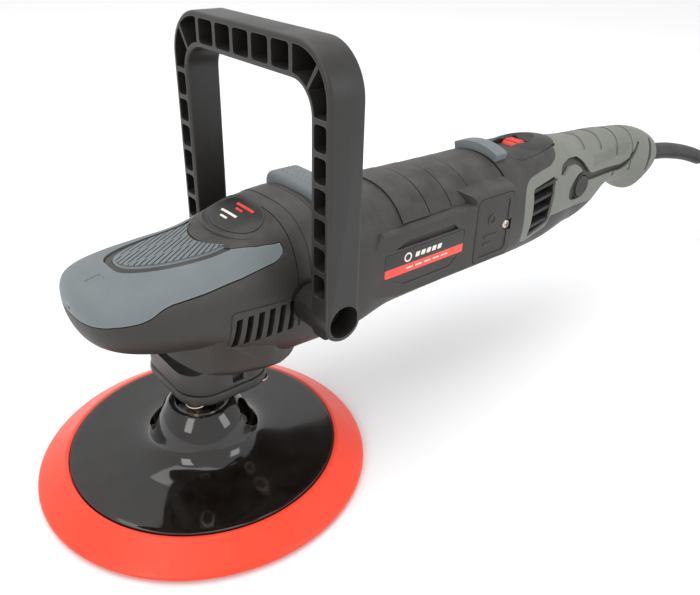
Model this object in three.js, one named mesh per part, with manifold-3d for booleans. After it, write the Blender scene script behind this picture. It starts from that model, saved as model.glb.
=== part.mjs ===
// Rotary polisher: a 180 mm pad under a right-angle gear head, a D-shaped front handle,
// a barrel motor housing, a tail handle and a 2.6 m mains lead coiled behind it.
// Millimetres. The origin is the centre of the pad's underside, on the spindle axis.
// +Z runs up the spindle, +X toward the tail handle, and y = 0 is the mirror plane.

import * as THREE from 'three';
import { mergeVertices } from 'three/addons/utils/BufferGeometryUtils.js';
import Module from 'manifold-3d';

const wasm = await Module();
wasm.setup();

// ---------------------------------------------------------------- driving dimensions

const GAP = 0.3; // between pieces that touch
const PAD_SIDES = 32; // facets of the pad's round pieces
const RUN = 0.8; // around pieces that turn or slide
const MOTOR_Z = 105; // height of the motor axis

const PAD_R = 90.6;
const PAD_TOP_R = PAD_R - 15.6;
const PAD_H = 13.9;
const HOOK_H = 1.5;
const HOOK_R = PAD_R - 2.6;
const DISC_R = PAD_TOP_R - 2;
const DISC_TOP = 14.6;
const HUB_R = 18;
const HUB_TOP = 41;

const SPINDLE_R = 8;
const THREAD_R = 7;
const SPINDLE_TOP = 117;
const SPINDLE_TIP_R = 5;

const PLATE_Z = 58;
const PLATE_H = 6;
const NECK_L = 52; // along X
const NECK_W = 57; // along Y
const NECK_CORNER_R = 16;
const NECK_TOP = 121;
const PLATE_SCREW_X = NECK_L / 2 - 7;
const PLATE_SCREW_Y = NECK_W / 2 - 9.5;
const PLATE_BORE_R = 11;
const SPINDLE_BEARING_R = 16;
const SPINDLE_BEARING_H = 12;
const BUSH_R = 9;
const BUSH_H = 8;
const GEAR_BARREL_R = 29.5;
const GEAR_BARREL_X = 22;

const CROWN_TEETH = 34;
const PINION_TEETH = 8;
const CROWN_PITCH_R = NECK_L / 2 - 6;
const PINION_PITCH_R = CROWN_PITCH_R * PINION_TEETH / CROWN_TEETH;
const TOOTH_FACE = 4;
const ADDENDUM = 1;
const DEDENDUM = 1.5;
const TOOTH_W = 1.5;
const CROWN_H = 6;
const CHAMBER_CLEAR = 1.2;

const HEAD_END = 58;
const SHELL_WALL = 2.5;
const GRIP_SKIN = 2.2;
const HEAD_VENTS = 6;
const HEAD_VENT_PITCH = 6.2;
const HEAD_VENT_W = 3.4;
const HEAD_VENT_H = 16;
const HEAD_VENT_X = 3.2;
const HEAD_VENT_Z = 99.5;
const HEAD_VENT_LEAN = 0.16;

const BARREL_R = 38.2;
const BARREL_END = 204.5;
const BARREL_BORE_R = BARREL_R - 2.6;
const PANEL_Y = BARREL_R + 0.4;
const PANEL_LOW = 93.5;
const PANEL_HIGH = 128.5;
const PANEL_START = 84;

const LABEL_X = 96.7;
const LABEL_L = 62.8;
const LABEL_Z = 99.3;
const LABEL_H = 14.3;
const LABEL_T = 0.6;

const COVER_X = 170;
const COVER_L = 34;
const COVER_Z = 86;
const COVER_H = 44;
const COVER_T = 2.4;
const COVER_SCREW_Z = 106.5;
const COVER_SCREW_R = 3;

const SHAFT_R = 4;
const CORE_R = 20.5;
const CORE_X = 96;
const CORE_L = 52;
const STATOR_BORE_R = 21.6;
const STATOR_X = 92;
const STATOR_L = 60;
const COMMUTATOR_R = 12;
const COMMUTATOR_X = 168;
const COMMUTATOR_L = 16;
const FAN_R = BARREL_BORE_R - 4.6;
const FAN_X = 74;
const FAN_L = 10;
const FAN_BLADES = 12;
const MOTOR_BEARING_R = 13;
const MOTOR_BEARING_L = 9;
const FRONT_BEARING_X = 47;
const REAR_BEARING_X = 191;
const BRIDGE_T = 7;

const BRUSH_X = 176;
const BRUSH_W = 7;
const BRUSH_H = 11;
const BRUSH_L = BARREL_BORE_R - COMMUTATOR_R - RUN - 4.8;
const HOLDER_WALL = 1.6;
const HOLDER_L = BRUSH_L + 2;

const TAIL_START = 205;
const TAIL_END = 430;
const TAIL_SKIN = 1.8;
const GRIP_START = 262;
const CHIN_Z = 89;
const CHIN_END = 336;
const TAIL_VENTS = 4;
const TAIL_VENT_PITCH = 9.6;
const TAIL_VENT_H = 6;
const TAIL_VENT_X = 227;
const TAIL_VENT_L = 21;
const TAIL_VENT_Z = 92.5;

const SWITCH_X = 248;
const SWITCH_L = 15;
const SWITCH_W = 13;
const SWITCH_TOP = 143;
const SWITCH_TRAVEL = 5;
const SWITCH_PANEL_L = 46;
const SWITCH_PANEL_W = 34;

const BUTTON_X = 300;
const BUTTON_Z = 106;
const BUTTON_R = 7.5;
const BUTTON_FACE_Y = 26;

const HANDLE_X = 45; // D-handle's hinge axis, at the motor axis' height
const HANDLE_FRONT = 34.8;
const HANDLE_DEPTH = 19.3;
const HANDLE_HALF_W = 66.8;
const HANDLE_TOP = 233;
const HANDLE_BAR = 17;
const HANDLE_LEG = 13.85;
const HANDLE_OUTER_R = 24;
const HANDLE_INNER_R = 14;
const HANDLE_WEB = 3.2;
const HANDLE_RIM = 2.6;
const LEG_POCKETS = 6;
const BAR_POCKETS = 5;
const BOSS_R = 10.8;
const BOSS_BORE_R = 8.6;
const BOSS_INNER_Y = 39.6;
const BOSS_SEAT_Y = 47;
const HANDLE_BOLT_R = 4;
const HANDLE_BOLT_HEAD_R = 6.5;
const HANDLE_BOLT_TIP_Y = 22;

const FRONT_BUMPER_X = 63;
const FRONT_BUMPER_L = 20;
const FRONT_BUMPER_HALF_W = 27;
const FRONT_BUMPER_TOP = MOTOR_Z + BARREL_R + 8.8;
const FRONT_BUMPER_BASE = FRONT_BUMPER_TOP - 12;
const REAR_BUMPER_X = 206;
const REAR_BUMPER_L = 13;
const REAR_BUMPER_HALF_W = 20;
const REAR_BUMPER_H = 9;
const REAR_BUMPER_FOOT = MOTOR_Z + BARREL_R - 10.2;

const GUARD_R = 7.4;
const GUARD_TIP_R = 6.6;
const CORD_R = 4.5;
const COIL_R = 52.5;
const COIL_TURN_PITCH = 9.4;
const COIL_COLUMNS = 4;
const COIL_ROWS = 2;
const COIL_X = 563;
const COIL_Y = -112;
const TIE_T = 0.9;
const TIE_W = 14;
const PLUG_L = 46;
const PLUG_W = 36;
const PLUG_H = 17;
const PIN_R = 2.4;
const PIN_L = 19;
const PIN_SPACING = 19;

// ---------------------------------------------------------------- shape helpers

// One closed body: shared corners merged, slivers dropped, faces turned outward.
function closed(geometry) {
  const bare = new THREE.BufferGeometry();
  bare.setAttribute('position', geometry.attributes.position);
  if (geometry.index) bare.setIndex(geometry.index);
  const merged = mergeVertices(bare, 1e-4);
  const p = merged.attributes.position;
  const index = merged.index.array;
  const kept = [];
  const a = new THREE.Vector3();
  const b = new THREE.Vector3();
  const c = new THREE.Vector3();
  let volume = 0;
  for (let i = 0; i < index.length; i += 3) {
    const [u, v, w] = [index[i], index[i + 1], index[i + 2]];
    if (u === v || v === w || w === u) continue;
    kept.push(u, v, w);
    a.fromBufferAttribute(p, u);
    b.fromBufferAttribute(p, v);
    c.fromBufferAttribute(p, w);
    volume += a.dot(b.cross(c));
  }
  if (volume < 0) {
    for (let i = 0; i < kept.length; i += 3) {
      [kept[i], kept[i + 1]] = [kept[i + 1], kept[i]];
    }
  }
  merged.setIndex(kept);
  return merged;
}

function toManifold(geometry) {
  const g = closed(geometry);
  return new wasm.Manifold(new wasm.Mesh({
    numProp: 3,
    vertProperties: new Float32Array(g.attributes.position.array),
    triVerts: new Uint32Array(g.index.array),
  }));
}

function fromManifold(body) {
  const mesh = body.getMesh();
  const positions = new Float32Array(mesh.numVert * 3);
  for (let i = 0; i < mesh.numVert; i++) {
    for (let k = 0; k < 3; k++) {
      positions[i * 3 + k] = mesh.vertProperties[i * mesh.numProp + k];
    }
  }
  const geometry = new THREE.BufferGeometry();
  geometry.setAttribute('position', new THREE.BufferAttribute(positions, 3));
  geometry.setIndex(Array.from(mesh.triVerts));
  return geometry;
}

const cut = (base, ...tools) => fromManifold(
  tools.reduce((body, tool) => body.subtract(toManifold(tool)), toManifold(base)),
);
const join = (base, ...others) => fromManifold(
  others.reduce((body, other) => body.add(toManifold(other)), toManifold(base)),
);
const common = (base, other) => fromManifold(toManifold(base).intersect(toManifold(other)));

function box(x0, x1, y0, y1, z0, z1) {
  const g = new THREE.BoxGeometry(x1 - x0, y1 - y0, z1 - z0);
  return g.translate((x0 + x1) / 2, (y0 + y1) / 2, (z0 + z1) / 2);
}

// A turned body about Z from [radius, height] pairs.
function turned(profile, segments = 24) {
  const points = profile.map(([r, h]) => new THREE.Vector2(r, h));
  return closed(new THREE.LatheGeometry(points, segments).rotateX(Math.PI / 2));
}

// The same about an axis along X, with its heights counted along +X from x.
function turnedAlongX(profile, x, z = MOTOR_Z, segments = 24) {
  return turned(profile, segments).rotateY(Math.PI / 2).translate(x, 0, z);
}

function rod(r, z0, z1, segments = 20) {
  return turned([[0, z0], [r, z0], [r, z1], [0, z1]], segments);
}

function ring(inner, outer, z0, z1, segments = 20) {
  return turned([[inner, z0], [outer, z0], [outer, z1], [inner, z1], [inner, z0]], segments);
}

function rodAlongX(r, x0, x1, z = MOTOR_Z, segments = 20) {
  return turnedAlongX([[0, 0], [r, 0], [r, x1 - x0], [0, x1 - x0]], x0, z, segments);
}

function ringAlongX(inner, outer, x0, x1, segments = 20) {
  const l = x1 - x0;
  const profile = [[inner, 0], [outer, 0], [outer, l], [inner, l], [inner, 0]];
  return turnedAlongX(profile, x0, MOTOR_Z, segments);
}

// A turned body whose axis runs along Y through (x, z), from y0 to y1.
function rodAlongY(r, x, y0, y1, z, segments = 16) {
  return rod(r, 0, y1 - y0, segments).rotateX(-Math.PI / 2).translate(x, y0, z);
}

function roundedRect(w, h, r, arcSteps = 3) {
  const shape = new THREE.Shape();
  const corners = [[1, 1, 0], [-1, 1, 1], [-1, -1, 2], [1, -1, 3]];
  const points = [];
  for (const [sx, sy, quarter] of corners) {
    for (let i = 0; i <= arcSteps; i++) {
      const a = (quarter + i / arcSteps) * Math.PI / 2;
      points.push(new THREE.Vector2(
        sx * (w / 2 - r) + r * Math.cos(a),
        sy * (h / 2 - r) + r * Math.sin(a),
      ));
    }
  }
  return shape.setFromPoints(points);
}

const outline = (points) => new THREE.Shape(points.map(([x, y]) => new THREE.Vector2(x, y)));

// A plan outline raised from z0 to z1.
function raised(shape, z0, z1, curveSegments = 6) {
  const options = { depth: z1 - z0, bevelEnabled: false, curveSegments };
  return new THREE.ExtrudeGeometry(shape, options).translate(0, 0, z0);
}

// A side outline in x and z, carried from y0 to y1.
function sideways(shape, y0, y1, curveSegments = 6) {
  const options = { depth: y1 - y0, bevelEnabled: false, curveSegments };
  return new THREE.ExtrudeGeometry(shape, options).rotateX(Math.PI / 2).translate(0, y1, 0);
}

// A front outline in y and z, carried from x0 to x1.
function lengthways(shape, x0, x1, curveSegments = 6) {
  const options = { depth: x1 - x0, bevelEnabled: false, curveSegments };
  const g = new THREE.ExtrudeGeometry(shape, options);
  return g.rotateX(Math.PI / 2).rotateZ(Math.PI / 2).translate(x0, 0, 0);
}

// A casing that runs along X. Each station gives x, the half width w, the height of the
// widest line c, the top and bottom heights, and n, the squareness of the section.
function casing(stations, inset = 0, segments = 20) {
  const circle = [];
  for (let i = 0; i < segments; i++) {
    const a = i / segments * 2 * Math.PI;
    circle.push(new THREE.Vector2(Math.cos(a), Math.sin(a)));
  }
  const spans = stations.length - 1;
  const options = { depth: spans, steps: spans, bevelEnabled: false };
  const g = new THREE.ExtrudeGeometry(new THREE.Shape(circle), options);
  const p = g.attributes.position;
  for (let i = 0; i < p.count; i++) {
    const k = Math.round(p.getZ(i));
    const s = stations[k];
    const a = Math.atan2(p.getY(i), p.getX(i));
    const u = Math.sign(Math.cos(a)) * Math.abs(Math.cos(a)) ** (2 / s.n);
    const v = Math.sign(Math.sin(a)) * Math.abs(Math.sin(a)) ** (2 / s.n);
    const rise = v > 0 ? s.top - s.c - inset : s.c - s.bottom - inset;
    p.setXYZ(i, s.x, u * (s.w - inset), s.c + v * rise);
  }
  return closed(g);
}

const station = (x, w, c, top, bottom, n) => ({ x, w, c, top, bottom, n });

// A round tube along a curve in the plane y = 0, from radius r0 to r1.
function taperedTube(curve, r0, r1, steps, sides) {
  const circle = [];
  for (let i = 0; i < sides; i++) {
    const a = i / sides * 2 * Math.PI;
    circle.push(new THREE.Vector2(Math.cos(a), Math.sin(a)));
  }
  const options = { depth: steps, steps, bevelEnabled: false };
  const g = new THREE.ExtrudeGeometry(new THREE.Shape(circle), options);
  const p = g.attributes.position;
  for (let i = 0; i < p.count; i++) {
    const t = Math.round(p.getZ(i)) / steps;
    const r = THREE.MathUtils.lerp(r0, r1, t);
    const at = curve.getPointAt(t);
    const along = curve.getTangentAt(t);
    const across = p.getY(i) * r;
    p.setXYZ(i, at.x - along.z * across, at.y + p.getX(i) * r, at.z + along.x * across);
  }
  return closed(g);
}

// A plain round tube along a curve.
function tube(curve, r, steps, sides) {
  const circle = [];
  for (let i = 0; i < sides; i++) {
    const a = i / sides * 2 * Math.PI;
    circle.push(new THREE.Vector2(r * Math.cos(a), r * Math.sin(a)));
  }
  const options = { steps, extrudePath: curve, bevelEnabled: false };
  return closed(new THREE.ExtrudeGeometry(new THREE.Shape(circle), options));
}

// ---------------------------------------------------------------- materials

const finish = (color, roughness, metalness = 0) => ({ color, roughness, metalness });
const FINISH = {
  housing: finish(0x3a3937, 0.65),
  gloss: finish(0x14110f, 0.15),
  grip: finish(0x7d8586, 0.7),
  tailGrip: finish(0x8c8e86, 0.7),
  nylon: finish(0x2e2d2b, 0.6),
  foam: finish(0xff5533, 0.55),
  hook: finish(0x23201f, 0.9),
  red: finish(0xd8402f, 0.45),
  steel: finish(0xa9a9a6, 0.35, 1),
  castBlack: finish(0x2a2a29, 0.5),
  copper: finish(0xb87333, 0.4, 1),
  carbon: finish(0x222222, 0.8),
  brass: finish(0xb5a25a, 0.4, 1),
  board: finish(0x2d5a34, 0.6),
  rubber: finish(0x1c1c1c, 0.75),
};

const group = new THREE.Group();

function add(name, geometry, look) {
  const g = closed(geometry);
  g.computeVertexNormals();
  const mesh = new THREE.Mesh(g, new THREE.MeshStandardMaterial(look));
  mesh.name = name;
  group.add(mesh);
  return mesh;
}

const SIDES = [['right', -1], ['left', 1]];
const mirrored = (geometry, side) => (side > 0 ? geometry : geometry.scale(1, -1, 1));

// ---------------------------------------------------------------- casing outlines

const HEAD = [
  station(-60, 10, 119.5, 126, 112.5, 2.2),
  station(-57.5, 19, 118, 129.5, 106, 2.3),
  station(-52.5, 27, 116.5, 132, 100.5, 2.4),
  station(-44, 32, 115, 133.5, 95, 2.5),
  station(-31, 35.5, 113, 134.5, 88.5, 2.6),
  station(-15, 37.5, 111, 135, 80.5, 2.7),
  station(6, 38, 109, 136.5, 73, 2.8),
  station(22, 38.4, 107, 141, 68, 2.9),
  station(36, 38.8, 105, 146, 66, 2.9),
  station(HEAD_END, 39, 105, 148.5, 65, 2.9),
];

const BARREL = [
  station(HEAD_END + GAP, 39, 105, 148.5, 65, 2.9),
  station(84, 39.4, 105, 146, 64.5, 2.9),
  station(97, 38.8, 105, 143.6, 65.5, 2.6),
  station(112, BARREL_R, MOTOR_Z, MOTOR_Z + BARREL_R, MOTOR_Z - BARREL_R, 2),
  station(BARREL_END, BARREL_R, MOTOR_Z, MOTOR_Z + BARREL_R, MOTOR_Z - BARREL_R, 2),
];

const TAIL = [
  station(TAIL_START, 38, 105, 143, 67, 2.1),
  station(218, 37.6, 105, 143, 67.5, 2.3),
  station(236, 36.2, 106, 143, 68.5, 2.5),
  station(256, 34.5, 107, 142, 69.5, 2.6),
  station(276, 30, 107, 140, 70, 2.6),
  station(296, 25.5, 106, 137.5, 71, 2.5),
  station(314, 23, 106, 136, 72, 2.5),
  station(331, 20.5, 107, 135.5, 77, 2.5),
  station(346, 18.5, 109, 135, 87, 2.4),
  station(360, 17.5, 110, 133.5, 90, 2.3),
  station(376, 17, 108, 132, 87, 2.3),
  station(390, 16.5, 105, 130, 79, 2.3),
  station(402, 16.5, 103, 127, 76, 2.3),
  station(413, 15.5, 102, 123, 79, 2.2),
  station(423, 13.5, 101, 118, 85, 2.2),
  station(TAIL_END, 10.5, 101, 112, 91, 2.1),
];

// ---------------------------------------------------------------- spindle and pad

function makeSpindle() {
  const profile = [
    [0, 17], [THREAD_R, 17], [THREAD_R, HUB_TOP + 2], [SPINDLE_R, HUB_TOP + 2],
    [SPINDLE_R, 102], [SPINDLE_TIP_R, 102], [SPINDLE_TIP_R, SPINDLE_TOP], [0, SPINDLE_TOP],
  ];
  add('spindle', turned(profile, 24), FINISH.steel);
}

const CROWN_PITCH_Z = MOTOR_Z - PINION_PITCH_R;
const CROWN_ROOT_Z = CROWN_PITCH_Z - DEDENDUM;

function makeCrownGear() {
  const inner = CROWN_PITCH_R - TOOTH_FACE / 2;
  const outer = CROWN_PITCH_R + TOOTH_FACE / 2;
  const teeth = [];
  for (let i = 0; i < CROWN_TEETH; i++) {
    const h = CROWN_PITCH_Z + ADDENDUM - CROWN_ROOT_Z;
    const section = outline([
      [-TOOTH_W * 0.75, -0.5], [TOOTH_W * 0.75, -0.5], [TOOTH_W * 0.3, h], [-TOOTH_W * 0.3, h],
    ]);
    const tooth = lengthways(section, inner, outer).translate(0, 0, CROWN_ROOT_Z);
    teeth.push(tooth.rotateZ((i + 0.5) / CROWN_TEETH * 2 * Math.PI));
  }
  const blank = turned([
    [SPINDLE_R + GAP, CROWN_ROOT_Z - CROWN_H], [outer - 3, CROWN_ROOT_Z - CROWN_H],
    [outer, CROWN_ROOT_Z - CROWN_H + 3], [outer, CROWN_ROOT_Z], [inner, CROWN_ROOT_Z],
    [inner - 1.5, CROWN_ROOT_Z - 1], [SPINDLE_R + GAP, CROWN_ROOT_Z - 1],
    [SPINDLE_R + GAP, CROWN_ROOT_Z - CROWN_H],
  ], 24);
  add('crown_gear', join(blank, ...teeth), FINISH.steel);
}

function makePad() {
  const seat = DISC_TOP - 2.6;
  add('backing_disc', turned([
    [0, seat], [DISC_R, seat], [DISC_R, DISC_TOP - 0.6], [DISC_R - 1, DISC_TOP],
    [42, DISC_TOP + 0.2], [34, 16.2], [28.5, 19.5], [25, 24], [22.5, 30], [20.5, 36],
    [HUB_R, HUB_TOP], [HUB_R - 4, HUB_TOP], [HUB_R - 6, 35], [THREAD_R + GAP, 35],
    [THREAD_R + GAP, 16], [0, 16],
  ], PAD_SIDES), FINISH.gloss);
  add('foam_pad', turned([
    [0, HOOK_H + GAP], [PAD_R - 1, HOOK_H + GAP], [PAD_R, HOOK_H + 1.5], [PAD_R - 1.2, 4.2],
    [PAD_TOP_R + 0.8, PAD_H - 0.8], [PAD_TOP_R, PAD_H], [DISC_R + GAP, PAD_H],
    [DISC_R + GAP, seat - GAP], [0, seat - GAP],
  ], PAD_SIDES), FINISH.foam);
  add('hook_disc', rod(HOOK_R, 0, HOOK_H, PAD_SIDES), FINISH.hook);
}

// ---------------------------------------------------------------- gear case

const neckOutline = (grow) => roundedRect(NECK_L + 2 * grow, NECK_W + 2 * grow,
  NECK_CORNER_R + grow);
const CROWN_OUTER_R = CROWN_PITCH_R + TOOTH_FACE / 2;
const BEARING_TOP = PLATE_Z + PLATE_H + GAP + SPINDLE_BEARING_H;

function makeGearCase() {
  const neck = raised(neckOutline(0), PLATE_Z + PLATE_H + GAP, NECK_TOP);
  const rear = rodAlongX(GEAR_BARREL_R, GEAR_BARREL_X, HEAD_END - GAP, MOTOR_Z, 24);
  const chamber = turned([
    [0, PLATE_Z], [SPINDLE_BEARING_R + GAP, PLATE_Z], [SPINDLE_BEARING_R + GAP, BEARING_TOP],
    [SPINDLE_BEARING_R - 2, BEARING_TOP], [SPINDLE_BEARING_R - 2, BEARING_TOP + 3],
    [CROWN_OUTER_R + CHAMBER_CLEAR, BEARING_TOP + 6], [CROWN_OUTER_R + CHAMBER_CLEAR, 110],
    [BUSH_R + GAP, 110], [BUSH_R + GAP, 110 + BUSH_H], [0, 110 + BUSH_H],
  ], 24);
  const tunnel = rodAlongX(MOTOR_BEARING_R - 3, 12, HEAD_END + 5);
  const seat = rodAlongX(MOTOR_BEARING_R + GAP, FRONT_BEARING_X - GAP, HEAD_END + 5);
  const holes = SIDES.map(([, s]) => rodAlongY(
    HANDLE_BOLT_R + GAP, HANDLE_X, Math.min(s * (HANDLE_BOLT_TIP_Y - 1), s * 45),
    Math.max(s * (HANDLE_BOLT_TIP_Y - 1), s * 45), MOTOR_Z, 16,
  ));
  const screwHoles = [];
  for (const sx of [-1, 1]) {
    for (const sy of [-1, 1]) {
      const hole = rod(2.2 + GAP, PLATE_Z, PLATE_Z + PLATE_H + 9, 10);
      screwHoles.push(hole.translate(sx * PLATE_SCREW_X, sy * PLATE_SCREW_Y, 0));
    }
  }
  add('gear_case', cut(join(neck, rear), chamber, tunnel, seat, ...holes, ...screwHoles),
    FINISH.castBlack);
  add('spindle_bearing', ring(SPINDLE_R + GAP, SPINDLE_BEARING_R,
    PLATE_Z + PLATE_H + GAP, BEARING_TOP - GAP), FINISH.steel);
  add('spindle_bush', ring(SPINDLE_TIP_R + GAP, BUSH_R, 110 + GAP, 110 + BUSH_H - GAP, 24),
    FINISH.brass);
}

function makeBearingPlate() {
  const slab = raised(neckOutline(0), PLATE_Z, PLATE_Z + PLATE_H);
  const bore = rod(PLATE_BORE_R, PLATE_Z - 1, PLATE_Z + PLATE_H + 1);
  const holes = [];
  let number = 1;
  for (const sx of [-1, 1]) {
    for (const sy of [-1, 1]) {
      const at = [sx * PLATE_SCREW_X, sy * PLATE_SCREW_Y];
      holes.push(rod(2.2 + GAP, PLATE_Z - 1, PLATE_Z + PLATE_H + 1, 10).translate(...at, 0));
      const screw = turned([
        [0, PLATE_Z - 3.2], [3, PLATE_Z - 3.2], [4.2, PLATE_Z - 2], [4.2, PLATE_Z - GAP],
        [2.2, PLATE_Z - GAP], [2.2, PLATE_Z + PLATE_H + 8], [0, PLATE_Z + PLATE_H + 8],
      ], 10);
      add(`plate_screw_${number}`, screw.translate(...at, 0), FINISH.steel);
      number += 1;
    }
  }
  add('bearing_plate', cut(slab, bore, ...holes), FINISH.castBlack);
}

// ---------------------------------------------------------------- head

// The palm grip covers what lies above this side line, and stays clear of the top channel.
function gripRegion(grow) {
  const above = sideways(outline([
    [-90, 106 - grow], [-62, 112 - grow], [-37, 118 - grow], [-25 - grow, 124.5 - grow],
    [-5, 124.5 - grow], [27 + grow, 129 - grow], [33 + grow, 135], [33 + grow, 200], [-90, 200],
  ]), -60, 60);
  return cut(above, raised(channelOutline(-grow), 90, 220));
}

const INSERT_TIP = -37;
const INSERT_REAR = 11;
const INSERT_HALF_W = 17.5;
const CHANNEL_W = 3.2;

// The pointed oval that the ribbed insert fills, grown by the given amount.
function insertOutline(grow) {
  const shape = new THREE.Shape();
  const w = INSERT_HALF_W + grow;
  const rear = INSERT_REAR + grow;
  const tip = INSERT_TIP - grow;
  shape.moveTo(rear, w);
  shape.bezierCurveTo(-14, w, tip, w * 0.8, tip, 0);
  shape.bezierCurveTo(tip, -w * 0.8, -14, -w, rear, -w);
  shape.quadraticCurveTo(rear - 12, 0, rear, w);
  return shape;
}

// The bare top strip: the insert with its channel, widening behind it to the badge.
function channelOutline(grow) {
  const shape = new THREE.Shape();
  const w = INSERT_HALF_W + CHANNEL_W + grow;
  const tip = INSERT_TIP - CHANNEL_W - grow;
  shape.moveTo(INSERT_REAR, w);
  shape.bezierCurveTo(-14, w, tip, w * 0.8, tip, 0);
  shape.bezierCurveTo(tip, -w * 0.8, -14, -w, INSERT_REAR, -w);
  shape.lineTo(22, -w - 8);
  shape.lineTo(36, -w - 16);
  shape.lineTo(60, -w - 16);
  shape.lineTo(60, w + 16);
  shape.lineTo(36, w + 16);
  shape.lineTo(22, w + 8);
  shape.lineTo(INSERT_REAR, w);
  return shape;
}

function makeHead() {
  const outer = casing(HEAD);
  const underGrip = casing(HEAD, GRIP_SKIN + GAP);
  const inner = casing(HEAD, GRIP_SKIN + GAP + SHELL_WALL, 12);
  const openRear = rodAlongX(30, HEAD_END - 4, HEAD_END + 4);
  const seatCut = cut(gripRegion(GAP), underGrip);
  const insertSeat = cut(raised(insertOutline(GAP), 120, 160), underGrip);
  const badgeSeat = cut(badgePrism(GAP), underGrip);
  const neckHole = raised(neckOutline(GAP), 50, 100);
  const boltHoles = SIDES.map(([, s]) => rodAlongY(
    HANDLE_BOLT_R + GAP, HANDLE_X, s > 0 ? 25 : -50, s > 0 ? 50 : -25, MOTOR_Z, 16,
  ));
  const vents = [];
  for (let i = 0; i < HEAD_VENTS; i++) {
    const w = HEAD_VENT_W / 2;
    const h = HEAD_VENT_H / 2;
    for (const [, s] of SIDES) {
      const slot = box(-w, w, 28, 45, -h, h).rotateY(HEAD_VENT_LEAN);
      slot.translate(HEAD_VENT_X + i * HEAD_VENT_PITCH, 0, HEAD_VENT_Z);
      vents.push(mirrored(slot, s));
    }
  }
  const handleRelief = SIDES.map(([, s]) => mirrored(
    rodAlongY(BOSS_R + 1.5, HANDLE_X, BOSS_INNER_Y - 1.3, 60, MOTOR_Z), s,
  ));
  const shell = cut(outer, inner, openRear, seatCut, insertSeat, badgeSeat, neckHole,
    ...boltHoles, ...vents, ...handleRelief);
  add('head_shell', shell, FINISH.housing);
  add('palm_grip', cut(common(outer, gripRegion(0)), casing(HEAD, GRIP_SKIN)), FINISH.grip);
  add('grip_insert', cut(common(outer, raised(insertOutline(0), 120, 160)),
    casing(HEAD, GRIP_SKIN)), FINISH.grip);
  add('badge', cut(common(outer, badgePrism(0)), casing(HEAD, GRIP_SKIN)), FINISH.gloss);
}

function badgePrism(grow) {
  const shape = new THREE.Shape();
  shape.absellipse(27.5, 0, 11 + grow, 19 + grow, 0, 2 * Math.PI);
  return raised(shape, 120, 170, 12);
}

// ---------------------------------------------------------------- motor

function makeBarrel() {
  const skin = join(
    casing(BARREL, 0, 28),
    box(PANEL_START, BARREL_END, -PANEL_Y, PANEL_Y, PANEL_LOW, PANEL_HIGH),
  );
  const bore = rodAlongX(BARREL_BORE_R, 40, BARREL_END + 5, MOTOR_Z, 28);
  const pockets = [];
  for (const [, s] of SIDES) {
    const label = box(LABEL_X - GAP, LABEL_X + LABEL_L + GAP, PANEL_Y - LABEL_T - GAP,
      PANEL_Y + 5, LABEL_Z - GAP, LABEL_Z + LABEL_H + GAP);
    const cover = box(COVER_X - GAP, BARREL_END + 5, PANEL_Y - COVER_T - GAP, PANEL_Y + 5,
      COVER_Z - GAP, COVER_Z + COVER_H + GAP);
    pockets.push(mirrored(label, s), mirrored(cover, s));
  }
  const notch = bumperFoot(GAP);
  add('motor_housing', cut(skin, bore, ...pockets, notch), FINISH.housing);
  for (const [side, s] of SIDES) {
    const label = box(LABEL_X, LABEL_X + LABEL_L, PANEL_Y - LABEL_T, PANEL_Y,
      LABEL_Z, LABEL_Z + LABEL_H);
    add(`side_label_${side}`, mirrored(label, s), FINISH.red);
    const plate = box(COVER_X, COVER_X + COVER_L, PANEL_Y - COVER_T, PANEL_Y,
      COVER_Z, COVER_Z + COVER_H);
    const screwX = COVER_X + COVER_L - COVER_SCREW_R - 1;
    const hole = rodAlongY(COVER_SCREW_R + GAP, screwX, PANEL_Y - 5, PANEL_Y + 5,
      COVER_SCREW_Z, 16);
    add(`brush_cover_${side}`, mirrored(cut(plate, hole), s), FINISH.housing);
    const screw = rodAlongY(COVER_SCREW_R, screwX, PANEL_Y - COVER_T, PANEL_Y + 0.2,
      COVER_SCREW_Z, 16);
    add(`cover_screw_${side}`, mirrored(screw, s), FINISH.steel);
  }
}

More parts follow.
